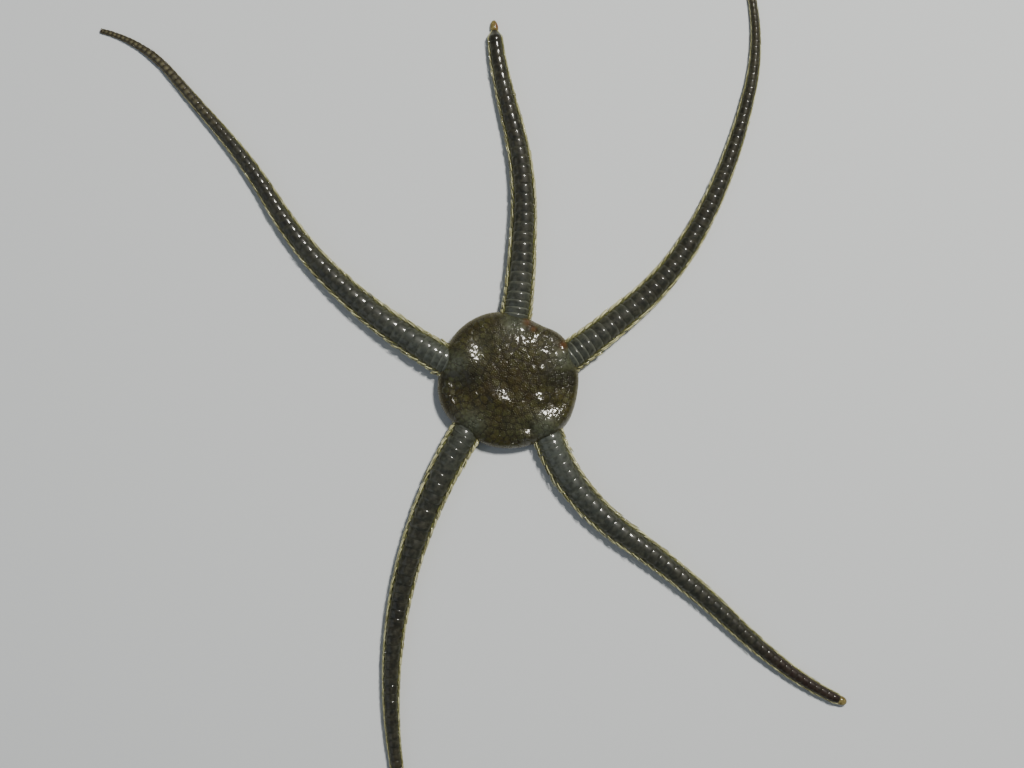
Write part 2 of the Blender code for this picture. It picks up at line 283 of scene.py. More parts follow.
# How an arm narrows at its end: by what share, how far from the end, and over what length, in mm
THREAD = (0.25, 8.0, 8.0)
HEALED = {"arm_top": (0.60, 1.70, 0.80), "arm_low_right": (0.24, 1.10, 0.60)}
ROOT_ANGLES = np.radians([row[1] for row in ARMS])


class Arm:
    """Middle line, widths and skin of one arm, read at any distances from its root, in mm."""

    def __init__(self, name, root_angle, length, headings, root_width, tip_width, taper, parts):
        self.name, self.length, self.taper = name, length, taper
        self.root_angle = math.radians(root_angle)
        self.root_width, self.tip_width = root_width, tip_width
        self.nodes = [f"{name}_{index + 1}" for index in range(parts)]
        self.steps = np.linspace(0.0, length, ROUTE_STEPS + 1)
        readings = np.linspace(0.0, length, len(headings))
        self.heading = np.radians(np.interp(self.steps, readings, headings))
        middle = (self.heading[1:] + self.heading[:-1]) / 2
        stride = length / ROUTE_STEPS
        outward = np.array((math.cos(self.root_angle), math.sin(self.root_angle)))
        start = DISC_CENTRE + ROOT_RADIUS * outward
        self.x = start[0] + np.concatenate(([0.0], np.cumsum(np.cos(middle)))) * stride
        self.y = start[1] + np.concatenate(([0.0], np.cumsum(np.sin(middle)))) * stride

    def half_width(self, s):
        """Half the body's width: it falls from root to tip as a power of the length left, and draws
        in near the end, slowly to a thread or at once to a healed stub."""
        rest = np.clip(1.0 - s / self.length, 0.0, 1.0)
        narrow, start, over = HEALED.get(self.name, THREAD)
        stub = np.clip((s - self.length + start) / over, 0, 1) ** 0.7
        wide = self.tip_width + (self.root_width - self.tip_width) * rest**self.taper
        return BODY_SHARE * (1.0 - narrow * stub) * wide / 2

    def skin(self, s, turn, lift):
        """Points over the arm at distances s and turns round it, stood off by a lift.
        Turn is 0 on the right side, 90 degrees on the back, 180 on the left, 270 on the belly.
        The back is half an ellipse; the belly is a flatter curve whose powers sum to one."""
        s, turn, lift = np.broadcast_arrays(s, turn, lift)
        half = self.half_width(s)
        high = 2 * half * np.interp(s / self.length, (0.0, 1.0), HEIGHT_SHARE)
        high *= np.interp(s, *ROOT_DIP)
        waist = WAIST_SHARE * high
        cos, sin = np.cos(turn), np.sin(turn)
        power = np.where(sin >= 0, 2.0, BELLY_POWER)
        tall = np.where(sin >= 0, high - waist, waist)
        out = -np.sign(cos) * np.abs(cos) ** (2 / power)
        up = np.sign(sin) * np.abs(sin) ** (2 / power)
        slope_out = np.sign(out) * np.abs(out) ** (power - 1) / half
        slope_up = np.sign(up) * np.abs(up) ** (power - 1) / tall
        size = np.hypot(slope_out, slope_up)
        aside = out * half + lift * slope_out / size
        height = waist + up * tall + lift * slope_up / size
        inside = np.minimum(s, 0.0)
        heading = np.interp(s, self.steps, self.heading)
        x, y = step_by(heading, inside, aside)
        x, y = np.interp(s, self.steps, self.x) + x, np.interp(s, self.steps, self.y) + y
        return np.stack((x, y, np.maximum(height, 0.0)), axis=-1)


arms = [Arm(*row) for row in ARMS]
for arm in arms:
    print(arm.name, "tip at", np.round(arm.skin(arm.length, math.pi / 2, 0.0), 1))

# %% [markdown]
# Where the rings of an arm lie
#
# The rings are short and crowded beside the disc, about one and a half millimetres long along most
# of the arm, and shorter again where the arm is thin. The length of a ring is read from the arm's
# width there; adding up how many rings fit in each small step and reading the sum backwards gives
# the place of every ring at once.

# %% Ring stations
RING_BY_WIDTH = ((0.6, 1.0, 1.6, 2.6, 3.6, 4.4), (0.62, 0.80, 1.00, 1.20, 1.42, 1.45))
CROWDED = ((0.0, 5.0), (0.50, 1.0))
PLATE_START = -0.9


def ring_edges(arm):
    """Distances of the edges between rings: the count of rings is the sum of 1 / ring length."""
    s = np.linspace(PLATE_START, arm.length, 1500)
    ring = np.interp(2 * arm.half_width(s), *RING_BY_WIDTH) * np.interp(s, *CROWDED)
    count = np.concatenate(([0.0], np.cumsum(np.diff(s) / ((ring[1:] + ring[:-1]) / 2))))
    whole = round(count[-1])
    return np.interp(np.arange(whole + 1) * count[-1] / whole, count, s)


edges = {arm.name: ring_edges(arm) for arm in arms}
print("rings:", {name: len(places) - 1 for name, places in edges.items()})

# %% [markdown]
# The disc's form
#
# The disc is a low bun, a little wider between the arms than at them. Its outline is a radius read
# round the compass and rounded off, and its profile is one curve from the crown over the rim to the
# flat sole: above the rim the radius is a power of a sine, which keeps the back broad and lets the
# sides fall steeply. The back is slack skin. It rises a little over each arm's root, soft swells and
# dents lie on it, and in some places it lies flat, just so that it mirrors the lamp: there the wet skin
# glints in patches, which fine wrinkles break up into scraps.

# %% The disc as a function
DISC_TOP = 4.30
RIM_LEVEL = 1.55
SOLE_LEVEL = 0.36
BACK_POWER = 2 / 3
SOLE_POWER = 0.2
OUTLINE = (
    (0, 9.75), (21, 9.6), (42, 9.75), (52, 9.25), (63, 8.85), (86, 9.5), (105, 10.1), (125, 10.35),
    (146, 10.45), (165, 10.0), (182, 10.6), (200, 10.75), (216, 10.4), (228, 9.9), (250, 10.0),
    (270, 9.8), (288, 9.75), (305, 9.9), (320, 10.3), (338, 9.85), (352, 9.65))
OUTLINE_BLUR = 7.0
# Azimuth and height of the main lamp in degrees, and the slope of a surface that mirrors it upwards
LAMP_WAY = (50.0, 57.0)
MIRROR_SLOPE = -math.tan(math.radians((90 - LAMP_WAY[1]) / 2)) * np.array(
    (math.cos(math.radians(LAMP_WAY[0])), math.sin(math.radians(LAMP_WAY[0]))))
# Flat places that mirror the lamp: place from the disc's middle, reach and lift in mm
FLATS = (
    (6.2, 5.9, 1.3, 0.03), (2.7, 7.5, 0.7, 0.02), (3.7, 6.2, 0.9, 0.02), (0.8, 5.8, 0.45, 0.01),
    (1.8, 4.3, 0.5, 0.01), (5.0, 4.4, 0.8, 0.02), (7.4, 4.2, 0.8, 0.02), (3.2, 1.9, 0.5, 0.01),
    (6.0, -4.6, 3.5, 0.11), (4.2, -2.6, 1.1, 0.03), (6.6, -2.5, 0.8, 0.03), (-5.3, 4.0, 2.1, 0.07),
    (-8.8, -0.7, 0.7, 0.0), (-8.5, -1.9, 0.7, 0.0), (-8.1, -3.0, 0.7, 0.0), (-1.3, -2.0, 1.7, 0.04),
    (2.3, -7.5, 1.1, 0.04), (4.7, 1.6, 0.45, 0.01))
# The place and reach where the back is smoothest and glints most
CALM = (6.0, -4.6, 2.6)
# Soft swells and dents: place, height and reach in mm
SWELLS = (
    (-8.2, 0.2, -0.36, 1.9), (7.9, 0.4, -0.32, 1.9), (-7.4, -5.2, 0.22, 1.6), (0.4, 0.0, -0.06, 2.6),
    (-1.8, -6.4, -0.12, 1.8), (2.9, -1.0, 0.08, 1.2), (-3.9, 1.0, 0.08, 1.4), (-2.2, 6.6, 0.10, 2.0))
# Fine wrinkles: waves across and along per mm and their start, the height of each in mm
WRINKLES = ((5.2, 1.3, 0.4), (-2.1, 5.0, 1.9), (3.9, -4.1, 3.1), (-5.9, -2.2, 5.0), (1.2, 6.6, 2.6),
            (6.4, 4.0, 4.4), (9.1, -3.5, 0.9), (2.8, 9.6, 5.6), (-7.3, 7.0, 3.7))
WRINKLE_HIGH = 0.0058
WRINKLE_CALM = 0.6
# The rise over an arm's root: distance from the middle, height, and reaches along and across
ROOF = (8.9, 0.14, 1.3, 2.3)
RIM_FADE = 20
NEAR_POLE = 1e-4
SMALL_STEP = 0.02
# The way in which the profile is measured, in radians
PROFILE_ANGLE = 0.9


def disc_radius(angle):
    """Outline radius at angles in degrees: readings joined by lines, then averaged over a window."""
    knots, radii = zip(*OUTLINE)
    window = np.linspace(-OUTLINE_BLUR, OUTLINE_BLUR, 9)
    return np.interp(np.asarray(angle)[..., None] + window, knots, radii, period=360).mean(-1)


def share_out(x, y):
    """How far out places from the disc's middle lie, as a share of the outline."""
    return np.hypot(x, y) / disc_radius(np.degrees(np.arctan2(y, x)))


def bun(x, y):
    """Height of the plain bun: its rise falls as the root of one minus the share to a power."""
    share = np.clip(share_out(x, y), 0.0, 1.0)
    return RIM_LEVEL + (DISC_TOP - RIM_LEVEL) * np.sqrt(1 - share ** (2 / BACK_POWER))


def bell(x, y, middle_x, middle_y, reach):
    """Bell curve round a place: one there, and it falls with the square of distance by reach."""
    return np.exp(-((x - middle_x) ** 2 + (y - middle_y) ** 2) / reach**2)


def calm(x, y):
    """How calm the back is: a bell curve round its smoothest place."""
    return bell(x, y, *CALM)


def relief(x, y):
    """Height of the slack skin's own form over the bun. Swells and roofs are bell curves. A flat
    draws the bun towards a plane of the mirror's slope, by a share that fades with distance, and
    crossed waves wrinkle it all."""
    total = np.zeros_like(x)
    for middle_x, middle_y, height, reach in SWELLS:
        total += height * bell(x, y, middle_x, middle_y, reach)
    place, height, along_reach, aside_reach = ROOF
    for turn in ROOT_ANGLES:
        along, aside = step_by(-turn, x, y)
        total += height * np.exp(-((along - place) / along_reach) ** 2 - (aside / aside_reach) ** 2)
    for middle_x, middle_y, reach, lift in FLATS:
        gap_x, gap_y = x - middle_x, y - middle_y
        share = np.exp(-(np.hypot(gap_x, gap_y) / reach) ** 3)
        level = bun(np.array(middle_x), np.array(middle_y)) + lift
        plane = level + MIRROR_SLOPE[0] * gap_x + MIRROR_SLOPE[1] * gap_y
        total += share * (plane - bun(x, y) - total)
    rough = sum(np.sin(kx * x + ky * y + start) for kx, ky, start in WRINKLES)
    return total + WRINKLE_HIGH * rough * (1 - WRINKLE_CALM * calm(x, y))


def disc_point(slant, angle):
    """Points of the disc's skin. Slant is 0 on the crown, 90 degrees on the rim, 180 at the middle
    of the sole; the share of the outline is its sine to a power, the height follows its cosine."""
    slant, angle = np.broadcast_arrays(slant, angle)
    back = slant <= math.pi / 2
    share = np.abs(np.sin(slant)) ** np.where(back, BACK_POWER, SOLE_POWER)
    tall = np.where(back, DISC_TOP - RIM_LEVEL, RIM_LEVEL - SOLE_LEVEL)
    radius = disc_radius(np.degrees(angle)) * share
    x, y = radius * np.cos(angle), radius * np.sin(angle)
    height = RIM_LEVEL + tall * np.cos(slant)
    height = height + np.where(back, relief(x, y) * (1 - share**RIM_FADE), 0.0)
    return np.stack((x + DISC_CENTRE[0], y + DISC_CENTRE[1], height), axis=-1)


def disc_frame(slant, angle):
    """Point and outward normal on the disc: the cross product of small steps down and sideways."""
    point = disc_point(slant, angle)
    slant = np.clip(slant, NEAR_POLE, math.pi - NEAR_POLE)
    step = np.minimum(SMALL_STEP, 0.3 * np.minimum(slant, math.pi - slant))
    down = disc_point(slant + step, angle) - disc_point(slant - step, angle)
    side = disc_point(slant, angle + SMALL_STEP) - disc_point(slant, angle - SMALL_STEP)
    down /= np.linalg.norm(down, axis=-1, keepdims=True)
    normal = np.cross(down, side)
    return point, normal / np.linalg.norm(normal, axis=-1, keepdims=True)


def back_slant(x, y):
    """Slant of places on the back, from the disc's middle: the sine's power turned round."""
    return np.arcsin(np.clip(share_out(x, y), 0.0, 0.9999) ** (1 / BACK_POWER))


def even_slants(step):
    """Slants at even distances along the disc's profile, from the crown to the sole's middle."""
    slant = np.linspace(0.0, math.pi, 4000)
    line = disc_point(slant, PROFILE_ANGLE)
    run = np.concatenate(([0.0], np.cumsum(np.linalg.norm(np.diff(line, axis=0), axis=1))))
    return np.interp(np.arange(step, run[-1] - step, step), run, slant)


def sole_height(x, y):
    """Height of the sole at places from the disc's middle, by the same power turned round."""
    share = np.clip(share_out(x, y), 0.0, 1.0)
    return RIM_LEVEL - (RIM_LEVEL - SOLE_LEVEL) * np.sqrt(1 - share ** (2 / SOLE_POWER))


print("disc radii in mm:", np.round(disc_radius(np.arange(0, 360, 45)), 2))

# %% [markdown]
# One skin
#
# The living animal has one skin that runs from the disc over every arm, under all the plates. On the
# underside the arms go on as five low ridges to the mouth. A remesh would join all this but would
# blur the thin tips, so the disc, the ridges and the cores of the arms are made as clean grids and
# joined by a Boolean union, and the pit of the mouth is cut out, which leaves one closed surface.

# %% Grids for the skin
CORE_DEPTH = 0.055
CORE_START = -3.2
CORE_CLIMB = 0.45
SKIN_STEP = 0.35
# How far the core draws in at its round end, as a share of the half width
END_ROUND = 0.8
TUBE_SIDES = 28
DISC_STEP = 0.17
DISC_TURNS = 180
RIDGE_SPAN = (2.5, 9.5)
RIDGE_HALF = (1.05, 1.92)
RIDGE_LEVELS = (0.12, 1.50)
MOUTH_RADIUS = 3.1
MOUTH_DEPTH = 1.4
PIT_SIDES = 60


def grid_tube(points):
    """Closed tube from rings of points: a quad grid that wraps round, and a fan over each end."""
    rings, around = points.shape[:2]
    index = np.arange(rings * around).reshape(rings, around)
    after = np.roll(index, -1, axis=1)
    sides = np.stack((index[:-1], index[1:], after[1:], after[:-1]), -1).reshape(-1, 4)
    first = np.stack((np.full(around, rings * around), index[0], after[0]), -1)
    last = np.stack((np.full(around, rings * around + 1), after[-1], index[-1]), -1)
    ends = np.stack((points[0].mean(0), points[-1].mean(0)))
    return np.concatenate((points.reshape(-1, 3), ends)), [sides, first, last]


def arm_core(arm):
    """The core of an arm, a little inside its plates, with a round end. Its inner end climbs into
    the disc, clear of the sole."""
    s = np.linspace(CORE_START, arm.length, round((arm.length - CORE_START) / SKIN_STEP))
    turn = even_turns(TUBE_SIDES, 0.01)
    half = arm.half_width(s)
    left = (arm.length - s) / (half + 0.01)
    shrink = 1.0 - np.sqrt(np.clip(1.0 - (1.0 - np.clip(left, 0, 1)) ** 2, 0, 1))
    lift = -CORE_DEPTH * half - shrink * half * END_ROUND
    points = arm.skin(s[:, None], turn, lift[:, None])
    points[..., 2] += CORE_CLIMB * np.clip(-s / 2.0, 0, 1)[:, None]
    return points


def from_middle(turn, along, aside, height):
    """Points by a distance along a direction from the disc's middle, one to its left, and a height."""
    x, y, height = np.broadcast_arrays(*step_by(turn, along, aside), height)
    return np.stack((x + DISC_CENTRE[0], y + DISC_CENTRE[1], height), axis=-1)


def ray_half(along):
    """Half the width of the ridge that an arm makes under the disc."""
    return np.interp(along, RIDGE_SPAN, RIDGE_HALF)


def ridge(turn):
    """An arm's ridge under the disc: its section is a curve whose cubes sum to one."""
    along = np.linspace(*RIDGE_SPAN, 22)[:, None]
    round_it = even_turns(TUBE_SIDES, 0.02)
    cos, sin = np.cos(round_it), np.sin(round_it)
    middle, tall = sum(RIDGE_LEVELS) / 2, (RIDGE_LEVELS[1] - RIDGE_LEVELS[0]) / 2
    aside = -np.sign(cos) * np.abs(cos) ** (2 / 3) * ray_half(along)
    return from_middle(turn, along, aside, middle + tall * np.sign(sin) * np.abs(sin) ** (2 / 3))


def mouth_pit():
    """The pit that the jaws stand in: an upright drum with a rounded top."""
    level = np.array((-0.5, 0.0, 0.5, 0.9, 1.15, 1.3, MOUTH_DEPTH))[:, None]
    share = np.array((1.0, 1.0, 1.0, 0.985, 0.93, 0.83, 0.6))[:, None]
    return from_middle(even_turns(PIT_SIDES), MOUTH_RADIUS * share, 0.0, level)[::-1]


print("ridge half width in mm at 5 mm:", round(float(ray_half(5.0)), 2))

# %% [markdown]
# The Boolean needs each grid as an object of its own for a moment. The joined mesh is read back once
# and the helpers are removed, so that only the skin is left.

# %% Joining the skin
slant = even_slants(DISC_STEP)[:, None]
skin = add_piece("skin", *grid_tube(disc_point(slant, even_turns(DISC_TURNS))))
helpers = [(add_piece(f"ridge_{index}", *grid_tube(ridge(turn))), "UNION")
           for index, turn in enumerate(ROOT_ANGLES)]
helpers += [(add_piece(f"core_{arm.name}", *grid_tube(arm_core(arm))), "UNION") for arm in arms]
helpers += [(add_piece("pit", *grid_tube(mouth_pit())), "DIFFERENCE")]
for helper, way in helpers:
    step = skin.modifiers.new(helper.name, "BOOLEAN")
    step.operation = way
    step.solver = "MANIFOLD"
    step.object = helper
joined = bpy.data.meshes.new_from_object(skin.evaluated_get(bpy.context.evaluated_depsgraph_get()))
skin.modifiers.clear()
skin.data = joined
skin.data.shade_smooth()
for helper, _ in helpers:
    bpy.data.objects.remove(helper)
print("joined skin:", len(skin.data.polygons), "faces")

# %% [markdown]
# Plates on the back of the arms
#
# Each ring has one broad back plate. It is a little wider at its far edge, that edge is an arc, and
# it lies over the start of the next one like a roof tile, so a thin pale line shows at every joint.
# The plates could be cut into the skin as grooves, but real ones are separate pieces of chalk with
# thickness, so each is a closed pillow bent over the arm: its length follows the arm's distance, its
# width follows the turn round the arm, and its lift stands it off the skin. Every point also keeps
# a few values, such as how near the plate's far edge it is, which the finishes paint by.

# %% Marks of an arm's pieces
rng = np.random.default_rng(11)
# How grey and pale each arm is, as a share at its root, and how far that reaches in mm
PALE = {"arm_left": 0.75, "arm_top": 0.32, "arm_right": 0.28,
        "arm_low_right": 0.95, "arm_low_left": 0.40}
PALE_REACH = 20.0
CROWDED_REACH = 5.0
THIN_FROM = (0.64, 0.86)
# How golden and spotted an arm's thin end is
GOLDEN = {"arm_left": 1.0, "arm_right": 0.30, "arm_low_left": 0.45}
# Length in mm of the red-brown end of an arm
RUDDY = {"arm_low_right": 16.0}


def ring_marks(arm, s, shape):
    """Values for each point: edge grows to the plate's far edge, flank to its sides; on the thin end
    spot is the plate's middle and joint its two ends; ruddy grows over an arm's last stretch; tone
    differs from plate to plate."""
    share = np.clip(s / arm.length, 0, 1)[:, None]
    thin = np.clip((share - THIN_FROM[0]) / (THIN_FROM[1] - THIN_FROM[0]), 0, 1)
    thin = thin * GOLDEN.get(arm.name, 0.0)
    near = np.exp(-np.maximum(s, 0.0) / CROWDED_REACH)[:, None]
    reach = RUDDY.get(arm.name, 0.0)
    ruddy = np.clip((s - arm.length + reach) / 5.0, 0, 1)[:, None] * (reach > 0)
    values = {
        "edge": np.clip(shape["a"], 0, 1) ** 10 * (0.15 + 0.85 * near) * (1 - 0.8 * thin),
        "tone": rng.normal(0.0, 1.0, (len(s), 1)),
        "far": thin,
        "spot": np.exp(-(shape["a"] ** 2 / 0.22 + shape["b"] ** 2 / 0.25)) * thin,
        "joint": np.abs(shape["a"]) ** 5 * thin,
        "flank": np.abs(shape["b"]) ** 3,
        "pale": PALE[arm.name] * np.exp(-np.maximum(s, 0.0) / PALE_REACH)[:, None],
        "near": near,
        "ruddy": ruddy,
        "bead": np.clip(shape["c"], 0, 1),
    }
    every = (len(s), len(shape["a"]))
    return {key: np.broadcast_to(value, every).ravel() for key, value in values.items()}


def plates_on_arm(name, arm, shape, s, turn, lift, root_s, root_turn):
    """Joined copies of a shape from the distance, turn and lift of every point of every copy; the
    roots' distances and turns place the patches."""
    patches = patch_at(root_s / arm.length, (root_turn / (2 * math.pi)) % 1.0, shape)
    return add_piece(name, arm.skin(s, turn, lift), copies(shape, len(root_s)),
                     ring_marks(arm, root_s, shape), patches)


print("arms that healed:", list(HEALED))

# %% [markdown]
# A plate's thickness is a share of the arm's half width, but never less than on a middling arm, or
# the rings of the thin ends would not be seen at all.

# %% Back plates
BACK_HALF = math.radians(63)
TILE_START = 0.04
TILE_LAP = 0.13
TILE_ARC = 0.20
TILE_FAN = 0.05
# How unlike each other the plates are, in width and in slant
TILE_UNEVEN = (0.012, 0.02)
# Heights as shares of the half width: of the far edge, of the near edge as a share of the far one's,
# and how deep a plate goes in
PLATE_LIFT = 0.045
NEAR_EDGE = 0.30
PLATE_ROOT = 0.11
LEAST_HALF = 0.85
# How much a plate leans its own way, as a share of the half width, how much more on one arm, and the
# deepest that a leaning corner sinks in
LOOSE = 0.010
LOOSER = {"arm_low_left": 3.5}
DEEPEST_LEAN = 0.04
loose_rng = np.random.default_rng(5)


def ring_sizes(arm):
    """Columns of each ring's start and length, the half width there, and the half width that
    thicknesses are worked out from."""
    start, end = edges[arm.name][:-1], edges[arm.name][1:]
    half = arm.half_width(start)[:, None]
    return start[:, None], (end - start)[:, None], half, np.maximum(half, LEAST_HALF)


def plate_lift(c, rise, root, sink, half):
    """Lift of a plate's points: the top rises by c, the underside goes in by c times a share of the
    half width, and the border of both sinks in by a share of it."""
    return np.where(c >= 0, c * rise, c * root * half) - (1 - np.abs(c)) * sink * half


def back_plates(arm):
    """Tiles along the back: the far edge bulges by an arc and the near edge is narrower."""
    start, ring, half, stout = ring_sizes(arm)
    a, b, c = BACK_PLATE["a"], BACK_PLATE["b"], BACK_PLATE["c"]
    along = (a + 1) / 2 * (1 + TILE_LAP) + TILE_ARC * (1 - b**2) * np.clip(a, 0, 1) - TILE_START
    fan = 1.0 + TILE_FAN * a + rng.normal(0, TILE_UNEVEN[0], ring.shape)
    tilt = rng.normal(0, TILE_UNEVEN[1], ring.shape) * b
    rise = (NEAR_EDGE + (1 - NEAR_EDGE) * (a + 1) / 2) * PLATE_LIFT * stout
    lean = a * loose_rng.normal(size=ring.shape) + b * loose_rng.normal(size=ring.shape)
    lean *= LOOSE * LOOSER.get(arm.name, 1.0)
    rise = np.maximum(rise + lean * stout, -DEEPEST_LEAN * half)
    middle = (start + ring / 2)[:, 0]
    return plates_on_arm(
        f"{arm.name}_back_plates", arm, BACK_PLATE, start + (along + tilt) * ring,
        math.pi / 2 + b * BACK_HALF * fan, plate_lift(c, rise, PLATE_ROOT, CORE_DEPTH, half),
        middle, np.full(len(middle), math.pi / 2))


backs = [back_plates(arm) for arm in arms]

# %% [markdown]
# Plates on the sides
#
# The side plate wraps from the back plate's edge down to the belly. It flares outward towards its
# far edge, where the spines are hinged, and that flare gives the arm's outline its fine saw teeth.

# %% Side plates
SIDE_TURN = (math.radians(36), math.radians(-64))
# As shares of the half width: the rise at the near edge, how much it grows to the far edge, how deep
# a plate goes in and how deep its border does
SIDE_RISE = 0.012
SIDE_FLARE = 0.06
SIDE_ROOT = 0.09
BORDER_SINK = 0.05


def side_plates(arm):
    """Both rows of side plates: the lift grows along each plate, and the far edge leans out."""
    start, ring, half, stout = ring_sizes(arm)
    a, b, c = PLATE["a"], PLATE["b"], PLATE["c"]
    middle, reach = (SIDE_TURN[0] + SIDE_TURN[1]) / 2, (SIDE_TURN[0] - SIDE_TURN[1]) / 2
    s = start + ((a + 1) / 2 * 1.04 - 0.03) * ring
    turn = np.concatenate((middle + b * reach + 0 * ring, math.pi - middle + b * reach + 0 * ring))
    rise = stout * (SIDE_RISE + SIDE_FLARE * ((a + 1) / 2) ** 2 * (1 - 0.35 * b**2))
    lift = plate_lift(c, rise, SIDE_ROOT, BORDER_SINK, half)
    root_turn = np.repeat((middle, math.pi - middle), len(start))
    return plates_on_arm(f"{arm.name}_side_plates", arm, PLATE, np.tile(s, (2, 1)), turn,
                         np.tile(lift, (2, 1)), np.tile((start + ring / 2)[:, 0], 2), root_turn)


sides = [side_plates(arm) for arm in arms]

# %% [markdown]
# Plates on the belly
#
# Underneath, each ring has one squarish plate. The animal walks and rests on these, so they are flat
# and level with the floor; beside each, a small oval scale covers the pore of a tube foot.

# %% Belly plates and foot scales
BELLY = 1.5 * math.pi
BELLY_HALF = 0.40
BELLY_RISE = 0.03
# Foot scales: turn from the middle of the belly, half width as a turn, and half thickness
FOOT_TURN = math.radians(31)
FOOT_HALF = 0.085
FOOT_THICK = 0.10


def belly_plates(arm):
    """Squarish plates whose lift is cut off by the floor, so that their faces are level."""
    start, ring, half, _ = ring_sizes(arm)
    a, b, c = SMALL_PLATE["a"], SMALL_PLATE["b"], SMALL_PLATE["c"]
    s = start + ((a + 1) / 2 * 0.98 + 0.01) * ring
    turn = BELLY + b * BELLY_HALF * (1 - 0.10 * a)
    lift = plate_lift(c, BELLY_RISE * half, PLATE_ROOT, BORDER_SINK, half)
    middle = (start + ring / 2)[:, 0]
    return plates_on_arm(f"{arm.name}_belly_plates", arm, SMALL_PLATE, s, turn, lift,
                         middle, np.full(len(middle), BELLY))


def foot_scales(arm):
    """Two rows of small oval scales between the belly plates and the side plates."""
    start, ring, half, _ = ring_sizes(arm)
    a, b, c = OVAL_PLATE["a"], OVAL_PLATE["b"], OVAL_PLATE["c"]
    side = np.repeat((-1.0, 1.0), len(start))[:, None]
    s = np.tile(start + (0.62 + 0.34 * a) * ring, (2, 1))
    turn = BELLY + side * (FOOT_TURN + 0.05 * a) + b * FOOT_HALF
    lift = np.tile(FOOT_THICK * c * half, (2, 1))
    middle = np.tile((start + ring / 2)[:, 0], 2)
    return plates_on_arm(f"{arm.name}_foot_scales", arm, OVAL_PLATE, s, turn, lift,
                         middle, BELLY + side[:, 0] * FOOT_TURN)


bellies = [belly_plates(arm) for arm in arms]
feet = [foot_scales(arm) for arm in arms]

# %% [markdown]
# The spines
#
# A fan of short blunt spines stands on the far edge of every side plate and lies back along the
# arm, which is why this kind of brittle star looks smooth. From above they make the thin, pale,
# finely toothed border of the arm. Each is a tapered tube: its middle line leaves the plate and
# rises a little towards its tip, and its thickness follows the shape's own profile.

# %% Spines along the arms
SPINE_ROWS = 7
# Half width in mm from which all the rows stand
FULL_FAN = 0.75
SPINE_TURNS = (math.radians(27), math.radians(-42))
# Place on the ring in the top row, and how much further out the lowest row stands
SPINE_FOOT = (0.58, 0.10)
# Length in rings, the top row's share of it, and how much more the lowest row has
SPINE_LONG = (1.12, 0.90, 0.18)
# Half thickness and reach as shares of the half width, and the least of both in mm
SPINE_THICK = 0.055
LEAST_SPINE = 0.045
FRINGE = (1 / BODY_SHARE - 1) * 0.97
LEAST_FRINGE = 0.09
# How unlike each other the spines are, in place and turn, in lean, and in size
SWAY = 0.02
LEAN = 0.05
UNEVEN = 0.10
# How far a spine's tip hangs down, as a turn
SPINE_SAG = 0.05
# What share of the spines stands out from the rest, and by how much more
STRAY = (0.05, 0.7)


def spine_roots(arm):
    """One row for each spine: distance, length, turn, lean and side. Thin ends have fewer spines,
    so every other row stops where the arm is narrow."""
    start, end = edges[arm.name][:-1], edges[arm.name][1:]
    found = []
    for row in range(SPINE_ROWS):
        place = row / (SPINE_ROWS - 1)
        keep = (arm.half_width(start) > FULL_FAN) | (row % 2 == 0)
        s, ring = start[keep], (end - start)[keep]
        for side in (0, 1):
            near = SPINE_FOOT[0] + SPINE_FOOT[1] * place + rng.normal(0, SWAY, len(s))
            long = SPINE_LONG[0] * (SPINE_LONG[1] + SPINE_LONG[2] * place)
            long = long * (1 + rng.normal(0, UNEVEN, len(s)))
            swing = np.interp(place, (0, 1), SPINE_TURNS) + rng.normal(0, SWAY, len(s))
            lean = rng.normal(0.0, LEAN, len(s))
            row_sides = np.full(len(s), side)
            found.append(np.stack((s + near * ring, long * ring, swing, lean, row_sides), 1))
    return (column[:, None] for column in np.concatenate(found).T)


def arm_spines(arm):
    """Tapered tubes: c runs along the arm, a is the lift and b the turn of the round section. The
    lift of the middle line grows as a power of c up to the fringe that the arm's full width leaves."""
    a, b, c = SPINE["a"], SPINE["b"], SPINE["c"]
    s, long, swing, lean, side = spine_roots(arm)
    half = arm.half_width(s)
    thick = np.maximum(SPINE_THICK * half, LEAST_SPINE) * (1 + UNEVEN * rng.normal(size=half.shape))
    fringe = np.maximum(FRINGE * half, LEAST_FRINGE) * (1 + UNEVEN * rng.normal(size=half.shape))
    fringe *= 1 + STRAY[1] * (loose_rng.uniform(size=half.shape) < STRAY[0])
    lift = 0.02 * half + fringe * np.clip(c, 0, 1) ** 0.5 - 0.7 * thick * c + a * thick * 0.85
    bend = swing + (lean - SPINE_SAG) * c
    turn = np.where(side == 0, bend, math.pi - bend) - b * thick / half
    root_turn = np.where(side == 0, swing, math.pi - swing)[:, 0]
    return plates_on_arm(f"{arm.name}_spines", arm, SPINE, s + c * long, turn, lift, s[:, 0], root_turn)


spines = [arm_spines(arm) for arm in arms]

# %% [markdown]
# The ends of the arms
#
# Three arms run out to a thread with a tiny end plate. Two were bitten off and have healed: they stop
# short at a blunt, yellowish stub. Both are a round shape turned from a profile and bent with the arm.

# %% Arm ends
# Half width and half length in mm of the knobs on the healed arms, how far their middles lie before
# the arm's end, their level and height as shares of the arm's, and the one with a stain
KNOB_SIZES = {"arm_top": (0.56, 0.82), "arm_low_right": (0.66, 0.66)}
KNOB_BACK = 0.20
KNOB_LEVELS = (0.53, 0.62)
STAINED = "arm_top"
KNOB = turned([(0, 1.0), (0.35, 0.95), (0.65, 0.78), (0.86, 0.52), (0.97, 0.2), (1.0, -0.2),
               (0.93, -0.6), (0.7, -0.9), (0, -1.0)], 24)


